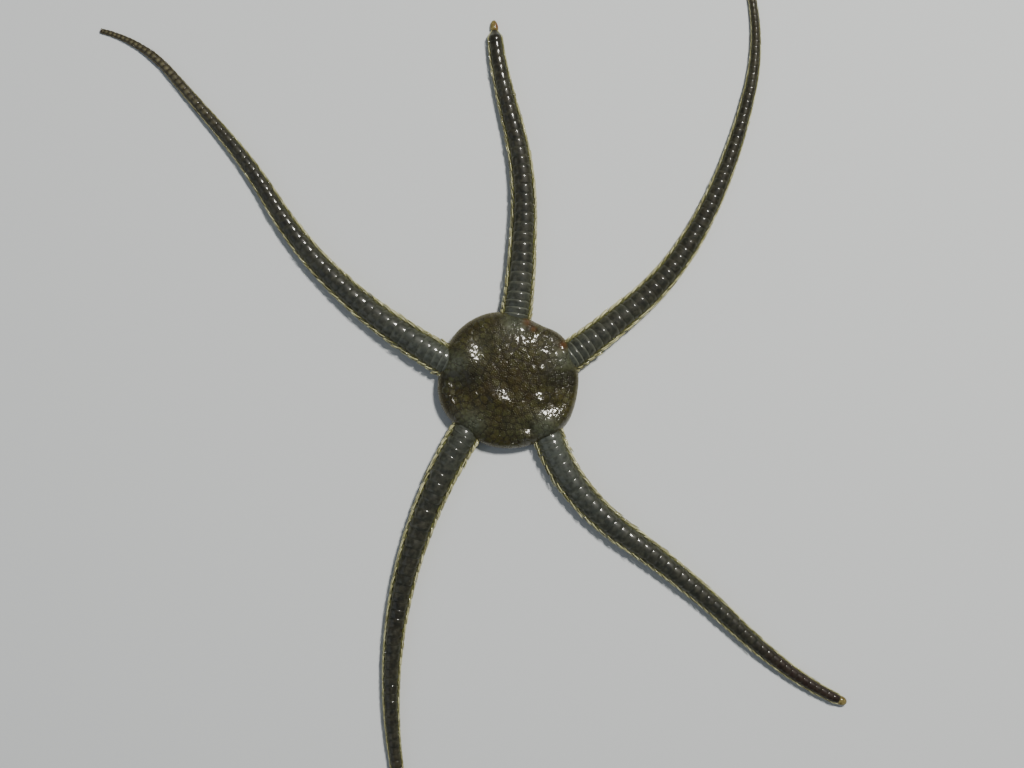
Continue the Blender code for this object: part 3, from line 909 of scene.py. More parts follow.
def arm_end(arm):
    """End knob: its own axis runs along the arm, its width and height follow the arm's there."""
    half = float(arm.half_width(arm.length))
    healed = arm.name in HEALED
    size, long = KNOB_SIZES.get(arm.name, (0.95 * half, max(0.9 * half, 0.25)))
    a, b, c = KNOB["a"], KNOB["b"], KNOB["c"]
    wave = 1 + (0.09 * np.sin(3 * np.arctan2(b, a) + 1.0) * np.clip(c, 0, 1) - 0.22 * c) * healed
    tip = arm.skin(arm.length, math.pi / 2, 0.0)
    along = c * long - (KNOB_BACK if healed else 0.62 * long)
    up = np.maximum(tip[2] * (KNOB_LEVELS[0] + KNOB_LEVELS[1] * b * wave), 0.02)
    x, y = step_by(arm.heading[-1], along, a * size * wave)
    marks = {"far": 1.0, "spot": np.clip(c, 0, 1) * 0.5, "bead": np.clip(c, 0, 1), "near": 0.0,
             "tone": 0.0, "ruddy": 0.0,
             "stain": np.exp(-((a + 0.8) ** 2 + c**2) / 0.35) * (arm.name == STAINED)}
    patch = patch_at(np.array([0.995]), np.array([0.25]), KNOB)
    return add_piece(f"{arm.name}_end", np.stack((tip[0] + x, tip[1] + y, up), -1), KNOB["faces"],
                     marks, patch)


ends = [arm_end(arm) for arm in arms]

# %% [markdown]
# Markings of the disc
#
# The back of the disc is olive brown, clouded with rust, greyer and greener where the arms go under
# it, and yellow-green round the rim. A belt across the middle is darkened with painted shade, where the
# back creases between the arms. Underneath it is paler. The same marks have to lie on the skin, the
# scales and the grains, so they are worked out once as functions of the place and stored with every
# point; the finishes only mix colours by them.

# %% Marks of the disc
# Rusty places: from the disc's middle, and reach, in mm
RUST_SPOTS = ((2.3, 8.3, 1.2), (7.4, 5.0, 1.1), (3.9, 6.8, 0.8), (-1.5, 8.2, 1.2), (0.4, 0.2, 2.8),
              (1.6, -3.8, 1.8), (-3.4, -0.8, 1.3))
# Amber places on the rim
AMBER_SPOTS = ((2.3, 8.3, 0.55), (7.5, 5.0, 0.55), (3.2, 7.3, 0.4))
# Grey-green places: from the disc's middle, reach in mm, and share
GREY_SPOTS = ((-4.2, 5.0, 2.6, 0.34), (0.6, -7.0, 2.2, 0.32))
# The grey patch at each arm's root: distance from the middle, and reach
ROOT_GREY = (8.4, 2.2)
# Waves across and along, per mm, and their start
CLOUD_WAVES = ((0.55, 0.3, 1.0), (-0.4, 0.62, 2.2), (0.95, -0.7, 4.1),
               (1.3, 1.1, 0.6), (-1.7, 1.0, 3.3))


def disc_marks(x, y, under=0.0):
    """Marks at places from the disc's middle: sums of bell curves, plus a few crossed waves."""
    outward = share_out(x, y)
    cloud = sum(np.sin(kx * x + ky * y + start) for kx, ky, start in CLOUD_WAVES) / len(CLOUD_WAVES)
    rust, amber = (sum(bell(x, y, *spot) for spot in spots) for spots in (RUST_SPOTS, AMBER_SPOTS))
    root = sum(bell(x, y, *step_by(turn, ROOT_GREY[0], 0.0), ROOT_GREY[1]) for turn in ROOT_ANGLES)
    grey = root + sum(share * bell(x, y, *spot) for *spot, share in GREY_SPOTS)
    # The belt is painted shade: the dark band where the back creases between the left and right arms.
    belt = np.exp(-((y - 0.3) / 1.4) ** 2) * np.clip((np.abs(x) - 2.5) / 3.0, 0, 1)
    return {
        "rust": np.clip(0.7 * rust + 0.5 * cloud, 0, 1),
        "amber": np.clip(amber, 0, 1),
        "grey": np.clip(grey, 0, 1),
        "crease_shade_and_clouds": np.clip(belt + 0.35 * np.clip(-cloud, 0, 1), 0, 1),
        "rim": np.clip((outward - 0.92) / 0.08, 0, 1) ** 2 * (1 - 0.8 * np.clip(root, 0, 1)),
        "under": np.broadcast_to(under, np.shape(x)),
    }


flat = np.empty(len(skin.data.vertices) * 3, np.float32)
skin.data.vertices.foreach_get("co", flat)
place = flat.reshape(-1, 3).astype(float) / MM
skin_x, skin_y = place[:, 0] - DISC_CENTRE[0], place[:, 1] - DISC_CENTRE[1]
outline = disc_radius(np.degrees(np.arctan2(skin_y, skin_x)))
beyond = np.hypot(skin_x, skin_y) > outline + 0.2
marks = disc_marks(skin_x, skin_y, np.clip((1.1 - place[:, 2]) / 0.5, 0, 1))
store_marks(skin, {key: np.where(beyond, 0.0, values) for key, values in marks.items()})
print("points of the skin on the arms:", int(beyond.sum()))

# %% [markdown]
# Scales on the back of the disc
#
# Under its grains the back is paved with round-cornered scales, the largest round the middle. They
# are laid in loose rings; each one reaches, in every direction, half way to its neighbours. Taking a
# soft minimum of those distances gives cells with rounded corners, as growing scales have. They are
# very low: wet skin fills the joints, so they show more by their colour than by their height. Each
# leans a little its own way, which breaks the glints on the wet back into odd scraps.

# %% Places of the scales
# Distance from the middle in mm, and number of scales
SCALE_RINGS = ((0.0, 1), (1.30, 5), (2.45, 10), (3.6, 15), (4.72, 22), (5.8, 30), (6.8, 38),
               (7.7, 46), (8.5, 54), (9.15, 60))
SCALE_SIDES = 12
WIDEST_SCALE = 0.72
SCALE_TILT = 0.035
# The share of the outline that the middles of the scales stay inside
OUTERMOST = 0.965
# How far in mm a scale strays from its even place
SCATTER = 0.15
# How much evener the scales lie at the smoothest place
EVENED = 0.75

sites = []
for reach, number in SCALE_RINGS:
    turn = (np.arange(number) + rng.uniform(0, 1)) * 2 * math.pi / number
    sites.append(np.stack((reach * np.cos(turn), reach * np.sin(turn)), 1))
sites = np.concatenate(sites)
sites += rng.normal(0, SCATTER, sites.shape) * np.clip(np.hypot(*sites.T) / 2.0, 0, 1)[:, None]
sites = sites[share_out(*sites.T) < OUTERMOST]
site_tone = rng.normal(0, 1, len(sites))
site_tilt = rng.normal(0, SCALE_TILT, sites.shape)
site_tilt *= 1 - EVENED * calm(*sites.T)[:, None]


def cell_reach(turn):
    """How far each scale reaches at some turns: the distance to the half-way line with every
    neighbour, joined by a soft minimum, the power mean with a large negative power."""
    gap = sites[None] - sites[:, None]
    toward = gap @ np.stack((np.cos(turn), np.sin(turn)), 0)
    half_way = (gap**2).sum(-1)[..., None] / 2
    inverse = np.clip(toward, 0, None) / np.maximum(half_way, 1e-9)
    inverse = np.concatenate((inverse, np.full((len(sites), 1, len(turn)), 1 / WIDEST_SCALE)), axis=1)
    return (inverse**9).sum(1) ** (-1 / 9)


print("scales on the back:", len(sites))

# %% [markdown]
# The scales lie on the disc's own surface: a place seen from above gives the slant there, and the
# lift goes along the surface's normal.

# %% Disc scales
SCALE_RISE = 0.034
SCALE_GROOVE = 0.98
SCALE = turned([(0, 1.0), (0.35, 0.94), (0.65, 0.76), (0.87, 0.40), (1.0, -1.0), (0, -2.8)],
               SCALE_SIDES)


def on_back(x, y, lift):
    """Points over the disc's back at places from its middle, stood off by a lift."""
    point, normal = disc_frame(back_slant(x, y), np.arctan2(y, x))
    return point + normal * np.asarray(lift)[..., None]


ring_turns = np.arange(SCALE_SIDES) * 2 * math.pi / SCALE_SIDES
reach = cell_reach(ring_turns)
around = np.round(np.arctan2(SCALE["b"], SCALE["a"]) / ring_turns[1]).astype(int) % SCALE_SIDES
grow = reach[:, around] * SCALE_GROOVE
scale_x = sites[:, :1] + grow * SCALE["a"]
scale_y = sites[:, 1:] + grow * SCALE["b"]
scale_lift = (SCALE["c"] * SCALE_RISE + grow * SCALE["a"] * site_tilt[:, :1]
              + grow * SCALE["b"] * site_tilt[:, 1:])
marks = {key: values.ravel() for key, values in disc_marks(scale_x, scale_y).items()}
marks["tone"] = np.repeat(site_tone, len(SCALE["a"]))
marks["cell"] = np.tile(1 - np.hypot(SCALE["a"], SCALE["b"]) ** 3, len(sites))
disc_scales = add_piece("disc_scales", on_back(scale_x, scale_y, scale_lift),
                        copies(SCALE, len(sites)), marks,
                        disc_patches(*sites.T, SCALE))

# %% [markdown]
# The radial shields
#
# Where each arm goes under the disc, a pair of larger plates lies on its back, one on each side.
# They are smooth, hardly raised, and show as greyer wet patches at the arms' roots.

# %% Radial shields
SHIELD_PLACE = 8.0
SHIELD_ASIDE = 1.15
SHIELD_SIZE = (1.10, 0.72)
SHIELD_LEAN = 0.16
SHIELD_RISE = 0.05

shield_sets = []
for turn in ROOT_ANGLES:
    for side in SIDES:
        middle = np.array(step_by(turn, SHIELD_PLACE, side * SHIELD_ASIDE))
        along = SHIELD_SIZE[0] * OVAL_PLATE["a"]
        aside = SHIELD_SIZE[1] * OVAL_PLATE["b"] * (1 + 0.12 * OVAL_PLATE["a"])
        shield_sets.append(middle[:, None] + step_by(turn + side * SHIELD_LEAN, along, aside))
shield_x, shield_y = np.stack(shield_sets, axis=1)
shield_middle = np.stack((shield_x.mean(1), shield_y.mean(1)), 1)
shield_lift = np.where(OVAL_PLATE["c"] > 0, SHIELD_RISE, 0.1) * OVAL_PLATE["c"] + 0 * shield_x
marks = {key: values.ravel() for key, values in disc_marks(shield_x, shield_y).items()}
marks["tone"] = np.repeat(rng.normal(0, 1, len(shield_middle)), len(OVAL_PLATE["a"]))
marks["cell"] = np.tile(np.clip(OVAL_PLATE["c"], 0, 1), len(shield_middle))
shields = add_piece("radial_shields", on_back(shield_x, shield_y, shield_lift),
                    copies(OVAL_PLATE, len(shield_middle)), marks,
                    disc_patches(*shield_middle.T, OVAL_PLATE))

# %% [markdown]
# The grains of the disc
#
# Thousands of tiny grains cover the scales and the sides of the disc, and give the wet skin its
# broken sparkle. They are laid in rows, from the crown over the rim to the sole, somewhat over a
# quarter of a millimetre apart, and jittered; each sits on the surface of the scale under it. The
# film of water fills the gaps between them, so they are much lower than they are wide.

# %% Places of the grains
GRAIN_STEP = 0.29
GRAIN_SIZE = 0.145
GRAIN_HIGH = 0.27
BARE_SOLE = 5.6
GRAIN_SINK = 0.010

grain_slant, grain_angle = [], []
for row in even_slants(GRAIN_STEP * 0.9):
    wide = np.hypot(*(disc_point(row, PROFILE_ANGLE)[:2] - DISC_CENTRE))
    number = max(4, int(2 * math.pi * wide / GRAIN_STEP))
    jitter = rng.uniform(0, 0.55, number) + rng.uniform()
    grain_angle.append((np.arange(number) + jitter) * 2 * math.pi / number)
    grain_slant.append(row + rng.normal(0, 0.006, number) * min(1.0, row / 0.2))
grain_slant = np.clip(np.concatenate(grain_slant), NEAR_POLE, math.pi - 0.03)
grain_angle = np.concatenate(grain_angle)
grain_foot, grain_up = disc_frame(grain_slant, grain_angle)
grain_x, grain_y = grain_foot[:, 0] - DISC_CENTRE[0], grain_foot[:, 1] - DISC_CENTRE[1]
on_top = grain_slant < math.pi / 2
print("places for grains:", len(grain_slant))

# %% [markdown]
# A grain takes its height and its tone from the scale below it, whose border lies half way between
# the two nearest scale middles. Grains that would fall inside an arm, on a shield or on the bare
# parts of the sole are left out.

# %% Which grains are kept, and what lies under them
# Distance from the middle at which the scales have run out, half the width of a scale from which a
# grain stands at its full height, and the bare strip beside each ridge
SCALES_END = 9.4
FULL_CELL = 0.42
RIDGE_STRIP = 0.75

distance = np.hypot(grain_x[:, None] - sites[:, 0], grain_y[:, None] - sites[:, 1])
nearest = np.argmin(distance, axis=1)
distance.sort(axis=1)
border = (distance[:, 1] - distance[:, 0]) / 2
grain_cell = np.clip(border / FULL_CELL, 0, 1)
own = np.stack((grain_x, grain_y), 1) - sites[nearest]
scale_height = SCALE_RISE * np.sqrt(grain_cell) + (own * site_tilt[nearest]).sum(1)
scale_height *= np.clip((SCALES_END - np.hypot(grain_x, grain_y)) / 0.8, 0, 1)

keep = on_top | (np.hypot(grain_x, grain_y) > BARE_SOLE)
for arm in arms:
    along, aside = step_by(-arm.heading[0], grain_foot[:, 0] - arm.x[0], grain_foot[:, 1] - arm.y[0])
    arm_half = arm.half_width(0.0)
    arm_top = arm.skin(0.5, math.pi / 2, 0.0)[2] * np.sqrt(np.clip(1 - (aside / arm_half) ** 2, 0, 1))
    under_arm = (np.abs(aside) < arm_half * 0.93) & (grain_foot[:, 2] < arm_top + 0.05)
    keep &= ~((along > -0.1) & under_arm)
    ray, off = step_by(-arm.root_angle, grain_x, grain_y)
    keep &= on_top | ~((ray > 0) & (np.abs(off) < ray_half(ray) + RIDGE_STRIP))
for middle_x, middle_y in shield_middle:
    along, aside = step_by(-math.atan2(middle_y, middle_x), grain_x - middle_x, grain_y - middle_y)
    keep &= ~(on_top & ((along / SHIELD_SIZE[0]) ** 2 + (aside / SHIELD_SIZE[1]) ** 2 < 0.8))
print("grains kept:", int(keep.sum()))

# %% [markdown]
# Each grain is set upright on the surface's normal. The back and the underside are two pieces, so
# that neither grows too large.

# %% Grains
GRAIN_AID = (0.31, 0.2, 0.93)
# The slant from which a grain is coloured as on the underside, and over how much that comes in
UNDER_FROM = (1.9, 0.5)


def grain_piece(name, chosen):
    """Joined grains: each is the grain shape, grown by its own size, set upright on the normal."""
    count = int(chosen.sum())
    size = (GRAIN_SIZE * rng.uniform(0.75, 1.15, count))[:, None, None]
    base = np.where(on_top[chosen], scale_height[chosen], 0.0)[:, None, None]
    points = set_on(GRAIN, grain_foot[chosen], grain_up[chosen], size,
                    base - GRAIN_SINK + GRAIN["c"][:, None] * size * GRAIN_HIGH, GRAIN_AID)
    under = np.clip((grain_slant[chosen] - UNDER_FROM[0]) / UNDER_FROM[1], 0, 1)
    marks = disc_marks(grain_x[chosen], grain_y[chosen], under)
    marks["tone"] = site_tone[nearest[chosen]] + 0.5 * rng.normal(0, 1, count)
    marks["cell"] = np.where(on_top[chosen], grain_cell[chosen], 0.7)
    marks = {key: np.repeat(values, len(GRAIN["a"])) for key, values in marks.items()}
    x, y = step_by(grain_angle[chosen], grain_slant[chosen] / math.pi * 0.48, 0.0)
    return add_piece(name, points, copies(GRAIN, count), marks, patch_at(0.5 + x, 0.5 + y, GRAIN))


back_grains = grain_piece("grains_back", keep & on_top)
under_grains = grain_piece("grains_under", keep & ~on_top)

# %% [markdown]
# The mouth
#
# The mouth is in the middle of the underside: five jaws, between the arms, point inwards and leave a
# star of five narrow slits. A jaw is two half jaws grown together, so a shallow groove runs down its
# middle, and it carries a row of small papillae along each side and teeth at its point. Each is a
# pillow whose width grows from the point outwards; it stands in the pit with its face downwards.

# %% Jaws
JAW_START = 124.0
JAW_SPAN = (0.55, 3.35)
JAW_LEVELS = (0.16, 1.34)
JAW_SPREAD = 0.665
JAW_BEGIN = 0.22
# The groove down a jaw: depth, and half its width as a share of the jaw's
JAW_GROOVE = (0.10, 0.13)
JAW_LUMP = 0.03
JAW_ON_MAP = 2.0
JAW = pillow(15, 11, 0.10)
JAW_ANGLES = np.radians(JAW_START + 72.0 * np.arange(5))


def jaw_half(along):
    """Half a jaw's width at a distance from the middle: it grows evenly from near the point."""
    return JAW_SPREAD * (along - JAW_BEGIN)


def jaw(index, turn):
    """One jaw: a runs outwards, b to the right so that c points down, with a groove along b = 0."""
    a, b, c = JAW["a"], JAW["b"], JAW["c"]
    along = (JAW_SPAN[0] + JAW_SPAN[1]) / 2 + a * (JAW_SPAN[1] - JAW_SPAN[0]) / 2
    middle, tall = sum(JAW_LEVELS) / 2, (JAW_LEVELS[1] - JAW_LEVELS[0]) / 2
    groove = JAW_GROOVE[0] * np.exp(-((b / JAW_GROOVE[1]) ** 2)) * np.clip(c, 0, 1)
    lumps = JAW_LUMP * np.sin(7 * a) * np.cos(5 * b) * np.clip(c, 0, 1)
    points = from_middle(turn, along, -b * jaw_half(along), middle - tall * c + groove + lumps)
    patch = disc_patches(*step_by(np.array([turn]), JAW_ON_MAP, 0.0), JAW)
    return add_piece(f"mouth_jaw_{index + 1}", points, JAW["faces"],
                     {"bead": np.clip(c, 0, 1), "tone": 0.0}, patch)


jaws = [jaw(index, turn) for index, turn in enumerate(JAW_ANGLES)]

# %% [markdown]
# Papillae and teeth are the spine shape again, straight and thick, and set along one direction for
# each row.

# %% Papillae and teeth
PAPILLAE = 8
PAPILLA_SPAN = (0.85, 3.1)
PAPILLA_SIZE = (0.34, 0.15)
PAPILLA_LEVEL = 0.33
PAPILLA_DROP = -0.25
TOOTH_LEVELS = np.array((0.34, 0.62, 0.90))
TOOTH_SIZE = (0.42, 0.17)
SPINE_AID = (0.12, 0.34, 0.93)


def set_along(roots, turn, drop, long, thick):
    """Spine shapes at roots along one direction: its turn, and how far it goes down or up."""
    way = np.array((math.cos(turn), math.sin(turn), drop))
    ways = np.tile(way / np.linalg.norm(way), (len(roots), 1))
    long = np.broadcast_to(long, len(roots))[:, None, None]
    return set_on(SPINE, roots, ways, thick, SPINE["c"][:, None] * long, SPINE_AID)


mouth_points = []
for turn in JAW_ANGLES:
    along = np.linspace(*PAPILLA_SPAN, PAPILLAE)
    for side in SIDES:
        roots = from_middle(turn, along, side * jaw_half(along) * 0.90, PAPILLA_LEVEL)
        across = turn + side * (math.atan(JAW_SPREAD) + math.pi / 2)
        long = PAPILLA_SIZE[0] * rng.uniform(0.85, 1.15, PAPILLAE) * np.linspace(0.8, 1.1, PAPILLAE)
        mouth_points.append(set_along(roots, across, PAPILLA_DROP, long, PAPILLA_SIZE[1]))
    roots = from_middle(turn, JAW_SPAN[0] + 0.14, 0.0, TOOTH_LEVELS)
    mouth_points.append(set_along(roots, turn + math.pi, 0.0, *TOOTH_SIZE))
mouth_points = np.concatenate(mouth_points)
papillae = add_piece("mouth_papillae", mouth_points, copies(SPINE, len(mouth_points)),
                     {"bead": np.tile(np.clip(SPINE["c"], 0, 1), len(mouth_points)), "tone": 0.0},
                     disc_patches(*(mouth_points.mean(1)[:, :2] - DISC_CENTRE).T, SPINE))

# %% [markdown]
# Plates of the underside
#
# Outside each jaw lies one large heart-shaped oral shield, with a narrow plate on each side of its
# inner end. Along each arm's ridge the row of belly plates goes on to the mouth, with a side plate
# and a foot scale on both sides. Seen from below, right and left change places, so a plate's b runs
# to the right of its direction, which turns its raised face down.

# %% Oral shields, adoral plates and the plates of the ridges
UNDER_ROOT = 0.12


def under_plates(name, shape, rows, rise):
    """Joined plates on the underside. A row gives the direction from the middle, the plate's distance
    and its place to the left, half length, half width, the turn of the plate, and its level."""
    turn, place, left, long, wide, twist, level = (np.array(column)[:, None] for column in zip(*rows))
    a, b, c = shape["a"], shape["b"], shape["c"]
    along = place + long * a * np.cos(twist) + wide * b * np.sin(twist)
    aside = left + long * a * np.sin(twist) - wide * b * np.cos(twist)
    points = from_middle(turn, along, aside, level - np.where(c > 0, rise, UNDER_ROOT) * c)
    root_x, root_y = step_by(turn, place, left)
    marks = {"bead": np.tile(np.clip(c, 0, 1), len(rows)),
             "tone": np.repeat(rng.normal(0, 1, len(rows)), len(a))}
    return add_piece(name, points, copies(shape, len(rows)), marks,
                     disc_patches(root_x[:, 0], root_y[:, 0], shape))


SHIELD_SHAPE = pillow(9, 9, 0.34)
oral_shields = under_plates("oral_shields", SHIELD_SHAPE,
                            [(turn, 4.35, 0.0, 1.02, 0.95, 0.0, 0.36) for turn in JAW_ANGLES], 0.13)
adoral_rows = [(turn, 3.62, side * 1.02, 0.62, 0.26, side * 0.62, 0.34)
               for turn in JAW_ANGLES for side in SIDES]
adoral_plates = under_plates("adoral_plates", OVAL_PLATE, adoral_rows, 0.12)
ray_places = np.arange(3.75, 8.6, 0.92)
ridge_rows = [(turn, place, 0.0, 0.45, 0.34 * ray_half(place), 0.0, 0.14)
              for turn in ROOT_ANGLES for place in ray_places]
ridge_plates = under_plates("ridge_belly_plates", SMALL_PLATE, ridge_rows, 0.06)
flank_rows = [(turn, place + 0.05, side * 0.76 * ray_half(place),
               0.43, 0.26 * ray_half(place), side * 0.05, 0.17)
              for turn in ROOT_ANGLES for place in ray_places for side in SIDES]
flank_plates = under_plates("ridge_side_plates", SMALL_PLATE, flank_rows, 0.07)
foot_rows = [(turn, place + 0.22, side * 0.44 * ray_half(place), 0.17, 0.10, side * 0.2, 0.12)
             for turn in ROOT_ANGLES for place in ray_places for side in SIDES]
ridge_feet = under_plates("ridge_foot_scales", OVAL_PLATE, foot_rows, 0.05)

# %% [markdown]
# The slits beside the arms
#
# Beside each arm two narrow slits open on each side, through which the animal breathes. The opening
# is a sunk lens painted near black, as painted shade for the dark inside of the slit, and its lip is a
# tube carried round an ellipse.

# %% Slits and their lips
SLIT_PLACES = ((5.35, 0.78), (7.75, 0.72))
SLIT_ASIDE = 0.42
SLIT_HALF = 0.11
LIP_THICK = 0.07
LIP_STEPS = (36, 8)
# How far a lip stands below the sole's level, and its opening above it
SLIT_SET = 0.01


def lip(turn, place, long, side):
    """A closed tube: its middle runs round an ellipse, its section is a circle square to that."""
    t, v = even_turns(LIP_STEPS[0])[:, None], even_turns(LIP_STEPS[1])
    left = side * (ray_half(place) + SLIT_ASIDE)
    out_along, out_aside = np.cos(t) * SLIT_HALF, np.sin(t) * long
    size = np.hypot(out_along, out_aside)
    along = place + np.cos(t) * long + LIP_THICK * np.cos(v) * out_along / size
    aside = left + np.sin(t) * SLIT_HALF + LIP_THICK * np.cos(v) * out_aside / size
    level = sole_height(*step_by(turn, along, aside))
    return from_middle(turn, along, aside, level + LIP_THICK * np.sin(v) + SLIT_SET)


index = np.arange(LIP_STEPS[0] * LIP_STEPS[1]).reshape(LIP_STEPS)
next_ring, next_side = np.roll(index, -1, axis=0), np.roll(index, -1, axis=1)
lip_turn = index.ravel() // LIP_STEPS[1] * 2 * math.pi / LIP_STEPS[0]
lip_faces = np.stack((index, next_ring, np.roll(next_ring, -1, axis=1), next_side), -1)
LIP = {"a": np.cos(lip_turn), "b": np.sin(lip_turn), "faces": [lip_faces.reshape(-1, 4)]}
slit_sets = [(turn, place, long, side) for turn in ROOT_ANGLES
             for place, long in SLIT_PLACES for side in SIDES]
lip_points = np.stack([lip(*row) for row in slit_sets]).reshape(len(slit_sets), -1, 3)
lips = add_piece("slit_lips", lip_points, copies(LIP, len(slit_sets)), {"bead": 1.0, "tone": 0.0},
                 disc_patches(*(lip_points.mean(1)[:, :2] - DISC_CENTRE).T, LIP))
slit_rows = []
for turn, place, long, side in slit_sets:
    left = side * (ray_half(place) + SLIT_ASIDE)
    level = float(sole_height(*step_by(turn, place, left))) - SLIT_SET
    slit_rows.append((turn, place, left, long, SLIT_HALF, 0.0, level))
# The slit plates are painted shade: their near-black finish stands for the dark inside of the openings.
slits = under_plates("slits", OVAL_PLATE, slit_rows, 0.02)

# %% [markdown]
# Wet finishes
#
# All of the animal is chalk under a thin living skin with a film of water on it. The skin gives a
# dull, dark, slightly mottled colour; the film gives small sharp highlights and nothing else. In the
# shader the first is the base with a high roughness, and the second is the coat, smooth and with the
# refractive index of water. A finish is painted as a person would paint the model: a ground colour,
# then thin layers, each laid on where a stored mark is high or in clouds of a given size in mm.
# Clouds read object coordinates, so plates, scales and skin agree where they meet.

# %% The recipe of a wet finish
WATER_INDEX = 1.33
SKIN_INDEX = 1.40
FILM_ROUGHNESS = 0.09
SKIN_GLOSS = 0.22
CLOUD_LEVELS = (0.36, 0.64)
ROUGH_SWING = 0.1
BUMP_STRENGTH = 0.6


def wet_finish(name, ground, layers, roughness, film, grain, height):
    """Dull coloured skin under a film of water. A layer is (colour, source, factor, offset): the
    source is the name of a stored mark, or the size of clouds in mm, and the layer's share is the
    source times the factor plus the offset, kept between 0 and 1. Grain and height are the fine
    bump's size in mm."""
    finish = bpy.data.materials.new(name)
    finish.use_nodes = True
    tree = finish.node_tree
    shader = tree.nodes["Principled BSDF"]
    place = add_node(tree, "ShaderNodeTexCoord").outputs["Object"]
    colour = linear(ground)
    for shade, source, factor, offset in layers:
        if isinstance(source, str):
            value = add_node(tree, "ShaderNodeAttribute", {"attribute_name": source}).outputs["Fac"]
        else:
            clouds = add_node(tree, "ShaderNodeTexNoise", Vector=place,
                              Scale=1 / (source * MM), Detail=3.0)
            value = add_node(tree, "ShaderNodeMapRange", Value=clouds.outputs["Fac"],
                             From_Min=CLOUD_LEVELS[0], From_Max=CLOUD_LEVELS[1]).outputs["Result"]
        share = add_node(tree, "ShaderNodeMath", {"operation": "MULTIPLY_ADD", "use_clamp": True},
                         _0=value, _1=factor, _2=offset)
        colour = add_node(tree, "ShaderNodeMix", {"data_type": "RGBA"}, _0=share.outputs["Value"],
                          _6=colour, _7=linear(shade)).outputs[2]
    tree.links.new(colour, shader.inputs["Base Color"])
    noise = add_node(tree, "ShaderNodeTexNoise", Vector=place, Scale=1 / (grain * MM), Detail=4.0)
    fine = noise.outputs["Fac"]
    rough = add_node(tree, "ShaderNodeMapRange", Value=fine,
                     To_Min=roughness - ROUGH_SWING, To_Max=roughness + ROUGH_SWING)
    tree.links.new(rough.outputs["Result"], shader.inputs["Roughness"])
    bump = add_node(tree, "ShaderNodeBump", Height=fine, Strength=BUMP_STRENGTH, Distance=height * MM)
    for socket in ("Normal", "Coat Normal"):
        tree.links.new(bump.outputs["Normal"], shader.inputs[socket])
    for socket, value in (("IOR", SKIN_INDEX), ("Specular IOR Level", SKIN_GLOSS),
                          ("Coat Weight", film), ("Coat Roughness", FILM_ROUGHNESS),
                          ("Coat IOR", WATER_INDEX)):
        shader.inputs[socket].default_value = value
    print(f"{name}: {len(layers)} layers over {ground}")
    return finish


# %% [markdown]
# Finishes of the arms
#
# The back plates are the darkest part, a green-black brown that is paler in a thin line at each
# plate's far edge, greyer on some arms, and golden brown with a light spot for each ring towards the
# thin ends. The side plates are olive, the spines straw-coloured with darker patches, and the belly
# is cream.

# %% Arm finishes
back_finish = wet_finish("wet_dark_skin_on_back_plates", "#0e0e0b", (
    ("#1f1f17", 2.0, 0.9, 0.0),
    ("#2e1f15", 0.9, 0.80, -0.14),
    ("#31372b", 0.9, 0.60, -0.18),
    ("#48483c", 0.65, 0.80, -0.46),
    ("#505855", "pale", 0.60, 0.0),
    ("#393d36", "tone", 0.08, 0.04),
    ("#4b504a", "near", 0.50, 0.0),
    ("#494b2e", "flank", 0.50, 0.0),
    ("#2e230f", "far", 0.75, 0.0),
    ("#120c07", "joint", 0.85, 0.0),
    ("#8b8868", "spot", 0.62, 0.0),
    ("#2a1512", "ruddy", 0.50, 0.0),
    ("#0e0e0b", 0.6, 0.70, -0.28),
    ("#85897a", "edge", 0.70, 0.0),
), 0.45, 1.0, 0.25, 0.007)

side_finish = wet_finish("wet_olive_skin_on_side_plates", "#42441f", (
    ("#73773c", 1.2, 0.80, 0.0),
    ("#33261a", 0.6, 0.60, -0.10),
    ("#656a60", "pale", 0.35, 0.0),
    ("#241b0d", "far", 0.85, 0.0),
    ("#9a9776", "edge", 0.50, 0.0),
), 0.45, 0.9, 0.2, 0.014)

spine_finish = wet_finish("wet_straw_spines", "#b0af7c", (
    ("#e8e8bc", 1.3, 0.90, 0.0),
    ("#3f3d2c", 1.1, 0.90, -0.34),
    ("#4e4b37", "tone", 0.35, 0.02),
    ("#31260f", "far", 0.90, 0.0),
    ("#75714a", "bead", -0.5, 0.4),
), 0.42, 0.9, 0.15, 0.006)

belly_finish = wet_finish("wet_cream_chalk", "#8f8768", (
    ("#b3aa8a", 1.5, 0.9, 0.0),
    ("#5f5638", "bead", -0.9, 0.9),
    ("#6f6a4c", "tone", 0.15, 0.05),
), 0.5, 0.7, 0.2, 0.008)

healed_finish = wet_finish("wet_yellow_healed_skin", "#857c50", (
    ("#5d5026", 0.35, 1.0, 0.0),
    ("#5f2713", "stain", 0.9, 0.0),
), 0.4, 1.0, 0.25, 0.02)

# %% [markdown]
# Finishes of the disc
#
# The scales and grains share one recipe: an olive brown clouded by the marks. Each scale has a tone
# of its own, greener or browner, and is rustier and darker towards its border, which draws the faint
# net of rounded cells over the back. The skin below has the same layers, a little darker.

# %% Disc finishes
def disc_layers(middle, groove):
    """Layers of the disc over its ground, from its own middle and groove colours."""
    return (
        (middle, 1.9, 0.9, 0.0),
        ("#36280e", 0.7, 0.60, -0.10),
        ("#32270e", "rust", 0.60, 0.0),
        ("#4f5547", "grey", 0.85, 0.0),
        # Painted shade of the crease across the middle, mixed with darker clouds
        ("#13140b", "crease_shade_and_clouds", 0.75, 0.0),
        ("#4c5230", "tone", 0.12, 0.05),
        (groove, "cell", -0.40, 0.30),
        ("#1a170c", 0.35, 0.55, -0.12),
        ("#676135", "rim", 0.60, 0.0),
        ("#5f3512", "amber", 0.55, 0.0),
        ("#6d6947", "under", 0.75, 0.0),
    )


